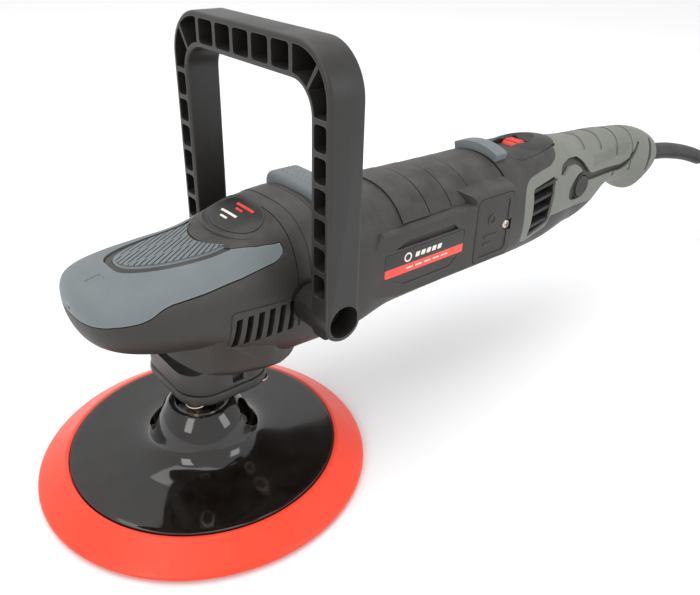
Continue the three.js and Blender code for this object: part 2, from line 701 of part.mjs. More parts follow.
function makeMotor() {
  add('stator', ringAlongX(STATOR_BORE_R, BARREL_BORE_R - GAP - 0.2, STATOR_X,
    STATOR_X + STATOR_L, 28), FINISH.steel);
  add('armature_core', ringAlongX(SHAFT_R + GAP, CORE_R, CORE_X, CORE_X + CORE_L),
    FINISH.copper);
  add('commutator', ringAlongX(SHAFT_R + GAP, COMMUTATOR_R, COMMUTATOR_X,
    COMMUTATOR_X + COMMUTATOR_L), FINISH.copper);
  const pinionX = CROWN_PITCH_R - TOOTH_FACE / 2 - 0.5;
  const pinionEnd = pinionX + TOOTH_FACE + 1;
  add('motor_shaft', turnedAlongX([
    [0, 0], [2, 0], [2, pinionEnd - pinionX + 1], [SHAFT_R, pinionEnd - pinionX + 1],
    [SHAFT_R, REAR_BEARING_X + MOTOR_BEARING_L + 2 - pinionX],
    [0, REAR_BEARING_X + MOTOR_BEARING_L + 2 - pinionX],
  ], pinionX, MOTOR_Z, 16), FINISH.steel);
  makePinion(pinionX, pinionEnd);
  makeFan();
  add('front_bearing', ringAlongX(SHAFT_R + GAP, MOTOR_BEARING_R, FRONT_BEARING_X,
    FRONT_BEARING_X + MOTOR_BEARING_L), FINISH.steel);
  add('rear_bearing', ringAlongX(SHAFT_R + GAP, MOTOR_BEARING_R, REAR_BEARING_X,
    REAR_BEARING_X + MOTOR_BEARING_L), FINISH.steel);
  const bridge = ringAlongX(MOTOR_BEARING_R + GAP, BARREL_BORE_R - GAP - 0.2, REAR_BEARING_X,
    REAR_BEARING_X + BRIDGE_T, 28);
  const windows = [];
  for (let i = 0; i < 4; i++) {
    const window = box(REAR_BEARING_X - 1, REAR_BEARING_X + BRIDGE_T + 1, -6, 6,
      MOTOR_BEARING_R + 6, BARREL_BORE_R - 6.6);
    windows.push(window.rotateX((i + 0.5) * Math.PI / 2).translate(0, 0, MOTOR_Z));
  }
  add('bearing_bridge', cut(bridge, ...windows), FINISH.nylon);
}

function makePinion(x0, x1) {
  const teeth = [];
  const root = PINION_PITCH_R - DEDENDUM + 0.3;
  const tip = PINION_PITCH_R + ADDENDUM;
  for (let i = 0; i < PINION_TEETH; i++) {
    const section = outline([
      [-TOOTH_W * 0.65, root - 0.6], [TOOTH_W * 0.65, root - 0.6],
      [TOOTH_W * 0.3, tip], [-TOOTH_W * 0.3, tip],
    ]);
    const tooth = lengthways(section, x0, x1).rotateX(i / PINION_TEETH * 2 * Math.PI);
    teeth.push(tooth.translate(0, 0, MOTOR_Z));
  }
  const hub = rodAlongX(root, x0, x1, MOTOR_Z, 24);
  const bore = rodAlongX(2 + GAP, x0 - 1, x1 + 1, MOTOR_Z, 16);
  add('pinion', cut(join(hub, ...teeth), bore), FINISH.steel);
}

function makeFan() {
  const hub = rodAlongX(SHAFT_R + 5, FAN_X, FAN_X + FAN_L, MOTOR_Z, 24);
  const back = rodAlongX(FAN_R, FAN_X + FAN_L - 2, FAN_X + FAN_L, MOTOR_Z, 24);
  const blades = [];
  for (let i = 0; i < FAN_BLADES; i++) {
    const blade = box(FAN_X, FAN_X + FAN_L - 1, -0.9, 0.9, SHAFT_R + 3, FAN_R - 0.5);
    blades.push(blade.rotateX(i / FAN_BLADES * 2 * Math.PI).translate(0, 0, MOTOR_Z));
  }
  const bore = rodAlongX(SHAFT_R + GAP, FAN_X - 1, FAN_X + FAN_L + 1, MOTOR_Z, 16);
  add('fan', cut(join(hub, back, ...blades), bore), FINISH.nylon);
}

function makeBrushes() {
  for (const [side, s] of SIDES) {
    const start = COMMUTATOR_R + RUN;
    const carbon = box(BRUSH_X - BRUSH_W / 2, BRUSH_X + BRUSH_W / 2, start, start + BRUSH_L,
      MOTOR_Z - BRUSH_H / 2, MOTOR_Z + BRUSH_H / 2);
    add(`carbon_brush_${side}`, mirrored(carbon, s), FINISH.carbon);
    const w = BRUSH_W / 2 + GAP;
    const h = BRUSH_H / 2 + GAP;
    const sleeve = cut(
      box(BRUSH_X - w - HOLDER_WALL, BRUSH_X + w + HOLDER_WALL, start + 1.5,
        start + 1.5 + HOLDER_L, MOTOR_Z - h - HOLDER_WALL, MOTOR_Z + h + HOLDER_WALL),
      box(BRUSH_X - w, BRUSH_X + w, start, start + HOLDER_L + 5, MOTOR_Z - h, MOTOR_Z + h),
    );
    add(`brush_holder_${side}`, mirrored(sleeve, s), FINISH.brass);
  }
}

// ---------------------------------------------------------------- tail handle

function tailGripRegion(grow) {
  return sideways(outline([
    [GRIP_START - grow, CHIN_Z - grow], [CHIN_END - grow, CHIN_Z - grow],
    [CHIN_END - grow, 60], [TAIL_END + 20, 60], [TAIL_END + 20, 170],
    [GRIP_START + 12 - grow, 170],
  ]), -60, 60);
}

function lowerCoverRegion(grow) {
  return sideways(outline([
    [GRIP_START + 16 - grow, 50], [CHIN_END - GAP + grow, 50],
    [CHIN_END - GAP + grow, CHIN_Z - GAP + grow], [GRIP_START + 16 - grow, CHIN_Z - GAP + grow],
  ]), -60, 60);
}

const switchWell = (grow) => raised(
  roundedRect(SWITCH_PANEL_L + 2 * grow, SWITCH_PANEL_W + 2 * grow, 14), 134, 170,
).translate(SWITCH_X + 6, 0, 0);

function makeTail() {
  const outer = casing(TAIL);
  const underGrip = casing(TAIL, TAIL_SKIN + GAP);
  const inner = casing(TAIL, TAIL_SKIN + GAP + SHELL_WALL, 12);
  const openings = [
    rodAlongX(BARREL_BORE_R - 3, TAIL_START - 5, TAIL_START + 5),
    rodAlongX(GUARD_R + GAP, TAIL_END - 8, TAIL_END + 5, 101, 12),
  ];
  const vents = [];
  for (let i = 0; i < TAIL_VENTS; i++) {
    const z = TAIL_VENT_Z + i * TAIL_VENT_PITCH;
    for (const [, s] of SIDES) {
      vents.push(mirrored(box(TAIL_VENT_X, TAIL_VENT_X + TAIL_VENT_L, 24, 45,
        z - TAIL_VENT_H / 2, z + TAIL_VENT_H / 2), s));
    }
  }
  const buttonHole = rodAlongY(BUTTON_R + RUN, BUTTON_X, -60, -15, BUTTON_Z, 20);
  const panelSkin = 3;
  const panelSeat = cut(switchWell(GAP), casing(TAIL, panelSkin + GAP));
  const switchHole = raised(roundedRect(SWITCH_L + SWITCH_TRAVEL + 2 * RUN + 2,
    SWITCH_W + 2 * RUN + 2, 2), 120, 160).translate(SWITCH_X - SWITCH_TRAVEL / 2, 0, 0);
  const body = cut(outer, inner, cut(tailGripRegion(GAP), underGrip),
    cut(lowerCoverRegion(GAP), underGrip), panelSeat, switchHole, buttonHole, bumperRear(GAP),
    ...openings, ...vents);
  const skin = cut(common(outer, tailGripRegion(0)), casing(TAIL, TAIL_SKIN), buttonHole,
    switchWell(GAP), ...openings);
  for (const [side, s] of SIDES) {
    const half = mirrored(box(0, 600, GAP / 2, 80, 0, 200), s);
    add(`handle_shell_${side}`, common(body, half), FINISH.housing);
    add(`handle_grip_${side}`, common(skin, half), FINISH.tailGrip);
  }
  add('lower_cover', cut(common(outer, lowerCoverRegion(0)), casing(TAIL, TAIL_SKIN)),
    FINISH.nylon);
  add('switch_panel', cut(common(outer, switchWell(0)), casing(TAIL, panelSkin), switchHole),
    FINISH.nylon);
}

function makeSwitch() {
  const cap = box(SWITCH_X - SWITCH_L / 2, SWITCH_X + SWITCH_L / 2, -SWITCH_W / 2,
    SWITCH_W / 2, 133, SWITCH_TOP);
  add('slide_switch', cap, FINISH.red);
  add('switch_module', box(SWITCH_X - 18, SWITCH_X + 12, -10, 10, 112, 132), FINISH.nylon);
  add('speed_module', box(SWITCH_X + 18, SWITCH_X + 52, -14, 14, 92, 104), FINISH.board);
  const y = BUTTON_FACE_Y;
  add('side_button', rodAlongY(BUTTON_R, BUTTON_X, -y, -y + 9, BUTTON_Z, 20), FINISH.nylon);
}

// ---------------------------------------------------------------- bumpers

// The front bumper's outline seen from the nose, sunk into the barrel's crown.
function bumperFoot(grow) {
  const x0 = FRONT_BUMPER_X - grow;
  const x1 = FRONT_BUMPER_X + FRONT_BUMPER_L + grow;
  const w = FRONT_BUMPER_HALF_W + grow;
  const base = FRONT_BUMPER_BASE - grow;
  const shape = new THREE.Shape();
  shape.moveTo(-w, base);
  shape.lineTo(w, base);
  shape.lineTo(w, FRONT_BUMPER_TOP - 7);
  shape.quadraticCurveTo(w, FRONT_BUMPER_TOP, w - 8, FRONT_BUMPER_TOP);
  shape.lineTo(-w + 8, FRONT_BUMPER_TOP);
  shape.quadraticCurveTo(-w, FRONT_BUMPER_TOP, -w, FRONT_BUMPER_TOP - 7);
  return lengthways(shape, x0, x1, 4);
}

function bumperRear(grow) {
  const shape = new THREE.Shape();
  const r = BARREL_R + REAR_BUMPER_H;
  const span = Math.asin(REAR_BUMPER_HALF_W / r);
  shape.absarc(0, MOTOR_Z, r - 4 + grow, Math.PI / 2 - span, Math.PI / 2 + span);
  shape.lineTo(-REAR_BUMPER_HALF_W - grow, REAR_BUMPER_FOOT - grow);
  shape.lineTo(REAR_BUMPER_HALF_W + grow, REAR_BUMPER_FOOT - grow);
  return lengthways(shape, REAR_BUMPER_X - grow, REAR_BUMPER_X + REAR_BUMPER_L + grow, 8);
}

function makeBumpers() {
  const frontClear = rodAlongX(BARREL_R + 0.6, 40, 120, MOTOR_Z, 36);
  add('front_bumper', cut(bumperFoot(0), frontClear), FINISH.grip);
  const rearClear = rodAlongX(BARREL_R - 3.5, 190, 240, MOTOR_Z, 36);
  add('rear_bumper', cut(bumperRear(0), rearClear), FINISH.grip);
}

// ---------------------------------------------------------------- D-handle

function handleOutline() {
  const shape = new THREE.Shape();
  const w = HANDLE_HALF_W;
  const i = w - HANDLE_LEG;
  const low = MOTOR_Z;
  const topInner = HANDLE_TOP - HANDLE_BAR;
  shape.moveTo(w, low);
  shape.lineTo(w, HANDLE_TOP - HANDLE_OUTER_R);
  shape.absarc(w - HANDLE_OUTER_R, HANDLE_TOP - HANDLE_OUTER_R, HANDLE_OUTER_R, 0, Math.PI / 2);
  shape.absarc(-w + HANDLE_OUTER_R, HANDLE_TOP - HANDLE_OUTER_R, HANDLE_OUTER_R, Math.PI / 2,
    Math.PI);
  shape.lineTo(-w, low);
  shape.lineTo(-i, low);
  shape.absarc(-i + HANDLE_INNER_R, topInner - HANDLE_INNER_R, HANDLE_INNER_R, Math.PI,
    Math.PI / 2, true);
  shape.absarc(i - HANDLE_INNER_R, topInner - HANDLE_INNER_R, HANDLE_INNER_R, Math.PI / 2, 0,
    true);
  shape.lineTo(i, low);
  return shape;
}

function makeDHandle() {
  const x0 = HANDLE_FRONT;
  const x1 = x0 + HANDLE_DEPTH;
  const loop = lengthways(handleOutline(), x0, x1, 5);
  const parts = [loop];
  const cuts = [];
  const legLow = MOTOR_Z + BOSS_R + 2;
  const legHigh = HANDLE_TOP - HANDLE_OUTER_R;
  const legStep = (legHigh - legLow) / LEG_POCKETS;
  for (const [, s] of SIDES) {
    parts.push(mirrored(rodAlongY(BOSS_R, HANDLE_X, BOSS_INNER_Y, HANDLE_HALF_W, MOTOR_Z), s));
    cuts.push(mirrored(rodAlongY(BOSS_BORE_R, HANDLE_X, BOSS_SEAT_Y, HANDLE_HALF_W + 5,
      MOTOR_Z), s));
    cuts.push(mirrored(rodAlongY(HANDLE_BOLT_R + RUN, HANDLE_X, BOSS_INNER_Y - 5,
      BOSS_SEAT_Y + 5, MOTOR_Z, 16), s));
    for (let i = 0; i < LEG_POCKETS; i++) {
      const low = legLow + i * legStep;
      cuts.push(mirrored(box(x0 - 5, x1 - HANDLE_WEB,
        HANDLE_HALF_W - HANDLE_LEG + HANDLE_RIM, HANDLE_HALF_W - HANDLE_RIM,
        low + HANDLE_RIM / 2, low + legStep - HANDLE_RIM / 2), s));
    }
  }
  const barHalf = HANDLE_HALF_W - HANDLE_OUTER_R;
  const barStep = 2 * barHalf / BAR_POCKETS;
  for (let i = 0; i < BAR_POCKETS; i++) {
    const low = -barHalf + i * barStep;
    cuts.push(box(x0 - 5, x1 - HANDLE_WEB, low + HANDLE_RIM / 2, low + barStep - HANDLE_RIM / 2,
      HANDLE_TOP - HANDLE_BAR + HANDLE_RIM, HANDLE_TOP - HANDLE_RIM));
  }
  const bossClear = SIDES.map(([, s]) => mirrored(
    box(0, 90, HANDLE_HALF_W - HANDLE_LEG - 0.01, 90, 60, MOTOR_Z), s,
  ));
  add('d_handle', cut(join(cut(loop, ...bossClear), ...parts.slice(1)), ...cuts),
    FINISH.nylon);
  for (const [side, s] of SIDES) {
    const bolt = turned([
      [0, 0], [HANDLE_BOLT_R, 0], [HANDLE_BOLT_R, BOSS_SEAT_Y + GAP - HANDLE_BOLT_TIP_Y],
      [HANDLE_BOLT_HEAD_R, BOSS_SEAT_Y + GAP - HANDLE_BOLT_TIP_Y],
      [HANDLE_BOLT_HEAD_R, BOSS_SEAT_Y + GAP + 8 - HANDLE_BOLT_TIP_Y],
      [0, BOSS_SEAT_Y + GAP + 8 - HANDLE_BOLT_TIP_Y],
    ], 16).rotateX(-Math.PI / 2).translate(HANDLE_X, HANDLE_BOLT_TIP_Y, MOTOR_Z);
    add(`handle_bolt_${side}`, mirrored(bolt, s), FINISH.steel);
  }
}

// ---------------------------------------------------------------- mains lead

const vec = (x, y, z) => new THREE.Vector3(x, y, z);

const GUARD_ROUTE = [
  vec(TAIL_END - 14, 0, 101), vec(TAIL_END + 15, 0, 100), vec(470, 0, 97), vec(505, 0, 88),
  vec(538, 0, 75.5),
];

const COIL_LIFT = TIE_T + GAP + 0.1;
const COIL_SPREAD = (COIL_COLUMNS - 1) / 2 * COIL_TURN_PITCH; // mean turn to outermost turn
const OUTER_TURN_R = COIL_R + COIL_SPREAD;
const LOW_TURN_Z = COIL_LIFT + CORD_R;
const HIGH_TURN_Z = LOW_TURN_Z + (COIL_ROWS - 1) * COIL_TURN_PITCH;

// The lead joins the coil's lowest outer turn on its far side and leaves the highest one.
const LEAD_ROUTE = [
  vec(538.8, 0, 75.2), vec(560, -2, 66), vec(584, -12, 50), vec(605, -32, 30),
  vec(618, -58, 14), vec(626, -85, 6.8), vec(COIL_X + OUTER_TURN_R, COIL_Y, LOW_TURN_Z),
];
const END_ROUTE = [
  vec(COIL_X, COIL_Y - OUTER_TURN_R, HIGH_TURN_Z),
  vec(COIL_X - 20, COIL_Y - OUTER_TURN_R - 2, 14),
  vec(COIL_X - 45, COIL_Y - OUTER_TURN_R - 9, 10.2),
  vec(COIL_X - 66, COIL_Y - OUTER_TURN_R - 18, 8.6),
];

function coilRing(grow) {
  const half = COIL_SPREAD + CORD_R + grow;
  const z0 = COIL_LIFT - grow;
  const z1 = HIGH_TURN_Z + CORD_R + grow;
  const c = CORD_R * 0.6;
  return turned([
    [COIL_R - half, z0 + c], [COIL_R - half + c, z0], [COIL_R + half - c, z0],
    [COIL_R + half, z0 + c], [COIL_R + half, z1 - c], [COIL_R + half - c, z1],
    [COIL_R - half + c, z1], [COIL_R - half, z1 - c], [COIL_R - half, z0 + c],
  ], 28).translate(COIL_X, COIL_Y, 0);
}

function makeLead() {
  const guardCurve = new THREE.CatmullRomCurve3(GUARD_ROUTE);
  add('cord_guard', taperedTube(guardCurve, GUARD_R, GUARD_TIP_R, 14, 12), FINISH.rubber);
  add('cord_clamp', box(TAIL_END - 32, TAIL_END - 20, -9, 9, 95, 108), FINISH.nylon);
  const leadCurve = new THREE.CatmullRomCurve3(LEAD_ROUTE);
  add('cord_lead', cut(tube(leadCurve, CORD_R, 10, 10), coilRing(GAP)), FINISH.rubber);
  add('cord_coil', coilRing(0), FINISH.rubber);

  const endCurve = new THREE.CatmullRomCurve3(END_ROUTE);
  add('cord_end', cut(tube(endCurve, CORD_R, 4, 10), coilRing(GAP)), FINISH.rubber);

  const half = COIL_SPREAD + CORD_R + GAP;
  const top = HIGH_TURN_Z + CORD_R + GAP;
  const bottom = COIL_LIFT - GAP;
  const band = cut(
    box(-TIE_W / 2, TIE_W / 2, COIL_R - half - TIE_T - 2, COIL_R + half + TIE_T + 2,
      bottom - TIE_T, top + TIE_T),
    box(-TIE_W, TIE_W, COIL_R - half - 2, COIL_R + half + 2, bottom, top),
  );
  add('cord_tie', band.translate(COIL_X, COIL_Y, 0), FINISH.nylon);

  const body = raised(roundedRect(PLUG_L, PLUG_W, 8), 0, PLUG_H);
  const pins = [-1, 1].map((s) => rodAlongX(PIN_R, -PLUG_L / 2 - PIN_L, -PLUG_L / 2 + 3,
    PLUG_H / 2, 12).translate(0, s * PIN_SPACING / 2, 0));
  const end = endCurve.getPointAt(1);
  const along = endCurve.getTangentAt(1);
  const turn = Math.atan2(along.y, along.x) + Math.PI;
  const plug = join(body, ...pins).translate(-PLUG_L / 2 - GAP - 0.2, 0, 0).rotateZ(turn);
  add('plug', plug.translate(end.x, end.y, 0.1), FINISH.rubber);
}

makeSpindle();
makeCrownGear();
makePad();
makeGearCase();
makeBearingPlate();
makeHead();
makeBarrel();
makeMotor();
makeBrushes();
makeTail();
makeSwitch();
makeBumpers();
makeDHandle();
makeLead();

export default group;
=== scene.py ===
import math

import bmesh
import bpy
from mathutils import Matrix, Vector


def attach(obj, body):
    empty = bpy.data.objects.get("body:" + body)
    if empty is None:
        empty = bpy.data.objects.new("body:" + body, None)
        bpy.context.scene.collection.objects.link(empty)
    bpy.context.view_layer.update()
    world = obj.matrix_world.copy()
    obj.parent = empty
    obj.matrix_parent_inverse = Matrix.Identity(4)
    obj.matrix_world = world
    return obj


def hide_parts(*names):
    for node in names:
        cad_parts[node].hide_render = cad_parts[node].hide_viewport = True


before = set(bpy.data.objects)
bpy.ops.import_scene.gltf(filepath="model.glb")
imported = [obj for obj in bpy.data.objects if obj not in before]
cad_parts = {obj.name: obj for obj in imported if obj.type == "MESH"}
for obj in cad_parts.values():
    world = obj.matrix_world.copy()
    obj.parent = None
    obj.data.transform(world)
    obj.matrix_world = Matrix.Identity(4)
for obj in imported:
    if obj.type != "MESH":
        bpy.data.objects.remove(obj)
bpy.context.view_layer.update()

# Sizes are in millimetres until a piece is finished, with the spindle on the Z axis.
MM = 0.001
MOTOR_Z = 105.0          # height of the motor's axis
HANDLE_X = 45            # the D-handle's bolts, along the motor
FAR = 60                 # well outside the body, for a tool that cuts right through its side
CREASE = math.radians(32)  # a sharper turn than this is an edge
UP = (0, 0, 1)


# ------------------------------------------------------------------ camera, light and floor

AZIMUTH, ELEVATION, ROLL = -40.48, 29.52, 1.85
CAMERA_AT = (-0.1413, -0.2887, 0.2831)
LENS = 36.37


def make_camera():
    azimuth, elevation, roll = (math.radians(a) for a in (AZIMUTH, ELEVATION, ROLL))
    back = Vector((math.sin(azimuth) * math.cos(elevation),
                   -math.cos(azimuth) * math.cos(elevation), math.sin(elevation)))
    level = Vector((math.cos(azimuth), math.sin(azimuth), 0))
    above = back.cross(level)
    right = level * math.cos(roll) + above * math.sin(roll)
    up = above * math.cos(roll) - level * math.sin(roll)
    camera = bpy.data.objects.new("camera", bpy.data.cameras.new("camera"))
    camera.data.lens = LENS
    camera.data.sensor_width = 36
    camera.data.clip_start = 0.01
    bpy.context.collection.objects.link(camera)
    camera.matrix_world = (Matrix.Translation(CAMERA_AT)
                           @ Matrix((right, up, back)).transposed().to_4x4())
    bpy.context.scene.camera = camera


def softbox(name, place, aim, size, power, tint=(1, 1, 1)):
    lamp = bpy.data.lights.new(name, "AREA")
    lamp.shape = "RECTANGLE"
    lamp.size, lamp.size_y = size
    lamp.energy = power
    lamp.color = tint
    light = bpy.data.objects.new(name, lamp)
    light.location = place
    light.rotation_mode = "QUATERNION"
    light.rotation_quaternion = (Vector(aim) - Vector(place)).to_track_quat("-Z", "Y")
    bpy.context.collection.objects.link(light)


def make_studio():
    scene = bpy.context.scene
    scene.view_settings.view_transform = "Standard"
    world = bpy.data.worlds.new("studio")
    world.use_nodes = True
    world.node_tree.nodes["Background"].inputs["Color"].default_value = (1, 1, 1, 1)
    world.node_tree.nodes["Background"].inputs["Strength"].default_value = 0.96
    scene.world = world
    softbox("overhead", (-0.1, 0.25, 1.5), (0.1, 0, 0.1), (1.6, 1.1), 9)
    softbox("left window", (-1.3, -0.5, 0.9), (0, 0, 0.05), (0.5, 0.9), 6, (1, 0.97, 0.94))
    softbox("right window", (0.75, -1.25, 0.7), (0.1, 0, 0.05), (0.5, 0.7), 4, (0.93, 0.97, 1))
    bm = bmesh.new()
    bmesh.ops.create_grid(bm, x_segments=1, y_segments=1, size=12)
    mesh = bpy.data.meshes.new("floor")
    bm.to_mesh(mesh)
    bm.free()
    mesh.materials.append(plain_floor())
    floor = bpy.data.objects.new("floor", mesh)
    bpy.context.collection.objects.link(floor)


def plain_floor():
    material = bpy.data.materials.new("pale floor")
    material.use_nodes = True
    shader = material.node_tree.nodes["Principled BSDF"]
    shader.inputs["Base Color"].default_value = (0.93, 0.93, 0.94, 1)
    shader.inputs["Roughness"].default_value = 0.8
    return material


# ------------------------------------------------------------------ surface effects

def new_group(name, inputs, outputs):
    group = bpy.data.node_groups.new(name, "ShaderNodeTree")
    for label, kind, value in inputs:
        socket = group.interface.new_socket(label, in_out="INPUT", socket_type=kind)
        if value is not None:
            socket.default_value = value
    for label, kind in outputs:
        group.interface.new_socket(label, in_out="OUTPUT", socket_type=kind)
    return group, group.nodes.new("NodeGroupInput"), group.nodes.new("NodeGroupOutput")


def maths(tree, operation, *values, clamp=False):
    node = tree.nodes.new("ShaderNodeMath")
    node.operation = operation
    node.use_clamp = clamp
    for socket, value in zip(node.inputs, values):
        if isinstance(value, (int, float)):
            socket.default_value = value
        else:
            tree.links.new(value, socket)
    return node.outputs[0]


def noise(tree, vector, scale, detail=3.0, roughness=0.5):
    node = tree.nodes.new("ShaderNodeTexNoise")
    node.inputs["Detail"].default_value = detail
    node.inputs["Roughness"].default_value = roughness
    if isinstance(scale, (int, float)):
        node.inputs["Scale"].default_value = scale
    else:
        tree.links.new(scale, node.inputs["Scale"])
    tree.links.new(vector, node.inputs["Vector"])
    return node.outputs["Fac"]


def ramp(tree, value, low, high):
    node = tree.nodes.new("ShaderNodeMapRange")
    node.inputs["From Min"].default_value = low
    node.inputs["From Max"].default_value = high
    tree.links.new(value, node.inputs["Value"])
    return node.outputs["Result"]


def mixed(tree, factor, first, second):
    node = tree.nodes.new("ShaderNodeMix")
    node.data_type = "RGBA"
    for socket, value in ((node.inputs[0], factor), (node.inputs[6], first),
                          (node.inputs[7], second)):
        if isinstance(value, (int, float)):
            socket.default_value = value
        elif isinstance(value, tuple):
            socket.default_value = (*value, 1)
        else:
            tree.links.new(value, socket)
    return node.outputs[2]


def make_grain_group():
    """Fine spark-eroded mould texture, with slow cloudy changes of tone."""
    group, given, out = new_group(
        "mould grain",
        [("Vector", "NodeSocketVector", None), ("Grain Scale", "NodeSocketFloat", 1800.0)],
        [("Height", "NodeSocketFloat"), ("Speckle", "NodeSocketFloat"),
         ("Cloud", "NodeSocketFloat")],
    )
    vector, scale = given.outputs["Vector"], given.outputs["Grain Scale"]
    fine = noise(group, vector, scale, 2.0, 0.6)
    cells = group.nodes.new("ShaderNodeTexVoronoi")
    cells.feature = "SMOOTH_F1"
    group.links.new(vector, cells.inputs["Vector"])
    group.links.new(maths(group, "MULTIPLY", scale, 0.6), cells.inputs["Scale"])
    height = maths(group, "ADD", maths(group, "MULTIPLY", fine, 0.6),
                   maths(group, "MULTIPLY", cells.outputs["Distance"], 0.5))
    group.links.new(height, out.inputs["Height"])
    group.links.new(ramp(group, fine, 0.58, 0.72), out.inputs["Speckle"])
    group.links.new(ramp(group, noise(group, vector, 24.0, 4.0, 0.55), 0.35, 0.65),
                    out.inputs["Cloud"])
    return group


def make_edge_group():
    """A mask of handled edges: where the surface turns sharply, broken up by scuffs."""
    group, given, out = new_group(
        "handled edges",
        [("Vector", "NodeSocketVector", None), ("Amount", "NodeSocketFloat", 0.5)],
        [("Mask", "NodeSocketFloat")],
    )
    bevel = group.nodes.new("ShaderNodeBevel")
    bevel.samples = 4
    bevel.inputs["Radius"].default_value = 0.0009
    geometry = group.nodes.new("ShaderNodeNewGeometry")
    dot = group.nodes.new("ShaderNodeVectorMath")
    dot.operation = "DOT_PRODUCT"
    group.links.new(bevel.outputs["Normal"], dot.inputs[0])
    group.links.new(geometry.outputs["Normal"], dot.inputs[1])
    turn = maths(group, "SUBTRACT", 1.0, dot.outputs["Value"])
    scuff = ramp(group, noise(group, given.outputs["Vector"], 160.0, 5.0, 0.7), 0.3, 0.7)
    edge = ramp(group, turn, 0.01, 0.14)
    worn = maths(group, "MULTIPLY", edge, maths(group, "ADD", 0.4, scuff))
    group.links.new(maths(group, "MULTIPLY", worn, given.outputs["Amount"], clamp=True),
                    out.inputs["Mask"])
    return group


def make_dust_group():
    """Fine dust that settles on faces that look upward."""
    group, given, out = new_group(
        "settled dust",
        [("Vector", "NodeSocketVector", None), ("Amount", "NodeSocketFloat", 0.2)],
        [("Mask", "NodeSocketFloat")],
    )
    geometry = group.nodes.new("ShaderNodeNewGeometry")
    split = group.nodes.new("ShaderNodeSeparateXYZ")
    group.links.new(geometry.outputs["Normal"], split.inputs[0])
    upward = ramp(group, split.outputs["Z"], 0.1, 1.0)
    patches = ramp(group, noise(group, given.outputs["Vector"], 70.0, 6.0, 0.65), 0.35, 0.75)
    laid = maths(group, "MULTIPLY", upward, patches)
    group.links.new(maths(group, "MULTIPLY", laid, given.outputs["Amount"], clamp=True),
                    out.inputs["Mask"])
    return group


GRAIN = make_grain_group()
EDGES = make_edge_group()
DUST = make_dust_group()


def placed(tree, group, vector, **values):
    node = tree.nodes.new("ShaderNodeGroup")
    node.node_tree = group
    tree.links.new(vector, node.inputs["Vector"])
    for label, value in values.items():
        node.inputs[label.replace("_", " ")].default_value = value
    return node.outputs


def linear(tone):
    """A display tone given as 0 to 255 levels, as the linear colour a shader takes."""
    return tuple((c / 255 / 12.92) if c <= 10 else ((c / 255 + 0.055) / 1.055) ** 2.4
                 for c in tone)


def surface(name, tone, rough, grain=1800.0, depth=0.00004, edge=0.35, worn=None, dust=0.15,
            cloud=0.12, speckle=0.1, pattern=None, **constants):
    """A material with mould grain, worn edges and dust. A pattern may recolour or press it."""
    material = bpy.data.materials.new(name)
    material.use_nodes = True
    tree = material.node_tree
    shader = tree.nodes["Principled BSDF"]
    for label, value in constants.items():
        shader.inputs[label.replace("_", " ")].default_value = value
    where = tree.nodes.new("ShaderNodeTexCoord").outputs["Object"]
    base = linear(tone)
    light = linear(worn) if worn else tuple(min(1, c * 1.9 + 0.03) for c in base)
    texture = placed(tree, GRAIN, where, Grain_Scale=grain)
    colour = mixed(tree, maths(tree, "MULTIPLY", texture["Cloud"], cloud), base,
                   tuple(c * 0.55 for c in base))
    colour = mixed(tree, maths(tree, "MULTIPLY", texture["Speckle"], speckle), colour,
                   tuple(min(1, c * 1.5 + 0.02) for c in base))
    height = texture["Height"]
    if pattern:
        colour, height = pattern(tree, where, colour, height)
    handled = placed(tree, EDGES, where, Amount=edge)["Mask"]
    dusty = placed(tree, DUST, where, Amount=dust)["Mask"]
    colour = mixed(tree, handled, colour, light)
    colour = mixed(tree, dusty, colour, DUST_COLOUR)
    tree.links.new(colour, shader.inputs["Base Color"])
    roughness = maths(tree, "ADD", rough - 0.06, maths(tree, "MULTIPLY", texture["Cloud"], 0.12))
    roughness = maths(tree, "ADD", roughness, maths(tree, "MULTIPLY", dusty, 0.3), clamp=True)
    tree.links.new(roughness, shader.inputs["Roughness"])
    bump = tree.nodes.new("ShaderNodeBump")
    bump.inputs["Strength"].default_value = 0.7
    bump.inputs["Distance"].default_value = depth
    tree.links.new(height, bump.inputs["Height"])
    tree.links.new(bump.outputs["Normal"], shader.inputs["Normal"])
    return material


def axes(tree, where):
    split = tree.nodes.new("ShaderNodeSeparateXYZ")
    tree.links.new(where, split.inputs[0])
    return split.outputs


def band(tree, value, centre, half, soft=0.3):
    """1 where value lies within half of centre, in millimetres, fading over soft."""
    away = maths(tree, "ABSOLUTE", maths(tree, "SUBTRACT", value, centre * MM))
    node = tree.nodes.new("ShaderNodeMapRange")
    node.inputs["From Min"].default_value = (half + soft) * MM
    node.inputs["From Max"].default_value = half * MM
    tree.links.new(away, node.inputs["Value"])
    return node.outputs["Result"]


DUST_COLOUR = (0.42, 0.41, 0.39)


def turning_streaks(tree, where, colour, height):
    """Faint concentric streaks left by skinning the foam while it turned."""
    x, y, _ = axes(tree, where)
    radius = maths(tree, "SQRT", maths(tree, "ADD", maths(tree, "MULTIPLY", x, x),
                                       maths(tree, "MULTIPLY", y, y)))
    rings = tree.nodes.new("ShaderNodeCombineXYZ")
    tree.links.new(radius, rings.inputs[0])
    streak = ramp(tree, noise(tree, rings.outputs[0], 900.0, 4.0, 0.7), 0.3, 0.7)
    faded = mixed(tree, maths(tree, "MULTIPLY", streak, 0.16), colour, linear((214, 58, 34)))
    return faded, maths(tree, "ADD", height, maths(tree, "MULTIPLY", streak, 1.4))


def parting_line(tree, where, colour, height):
    """The thin line round the handle where the two mould halves met."""
    x, _, _ = axes(tree, where)
    line = band(tree, x, 44.4, 0.12, 0.15)
    return mixed(tree, maths(tree, "MULTIPLY", line, 0.6), colour, (0.006, 0.006, 0.006)), height


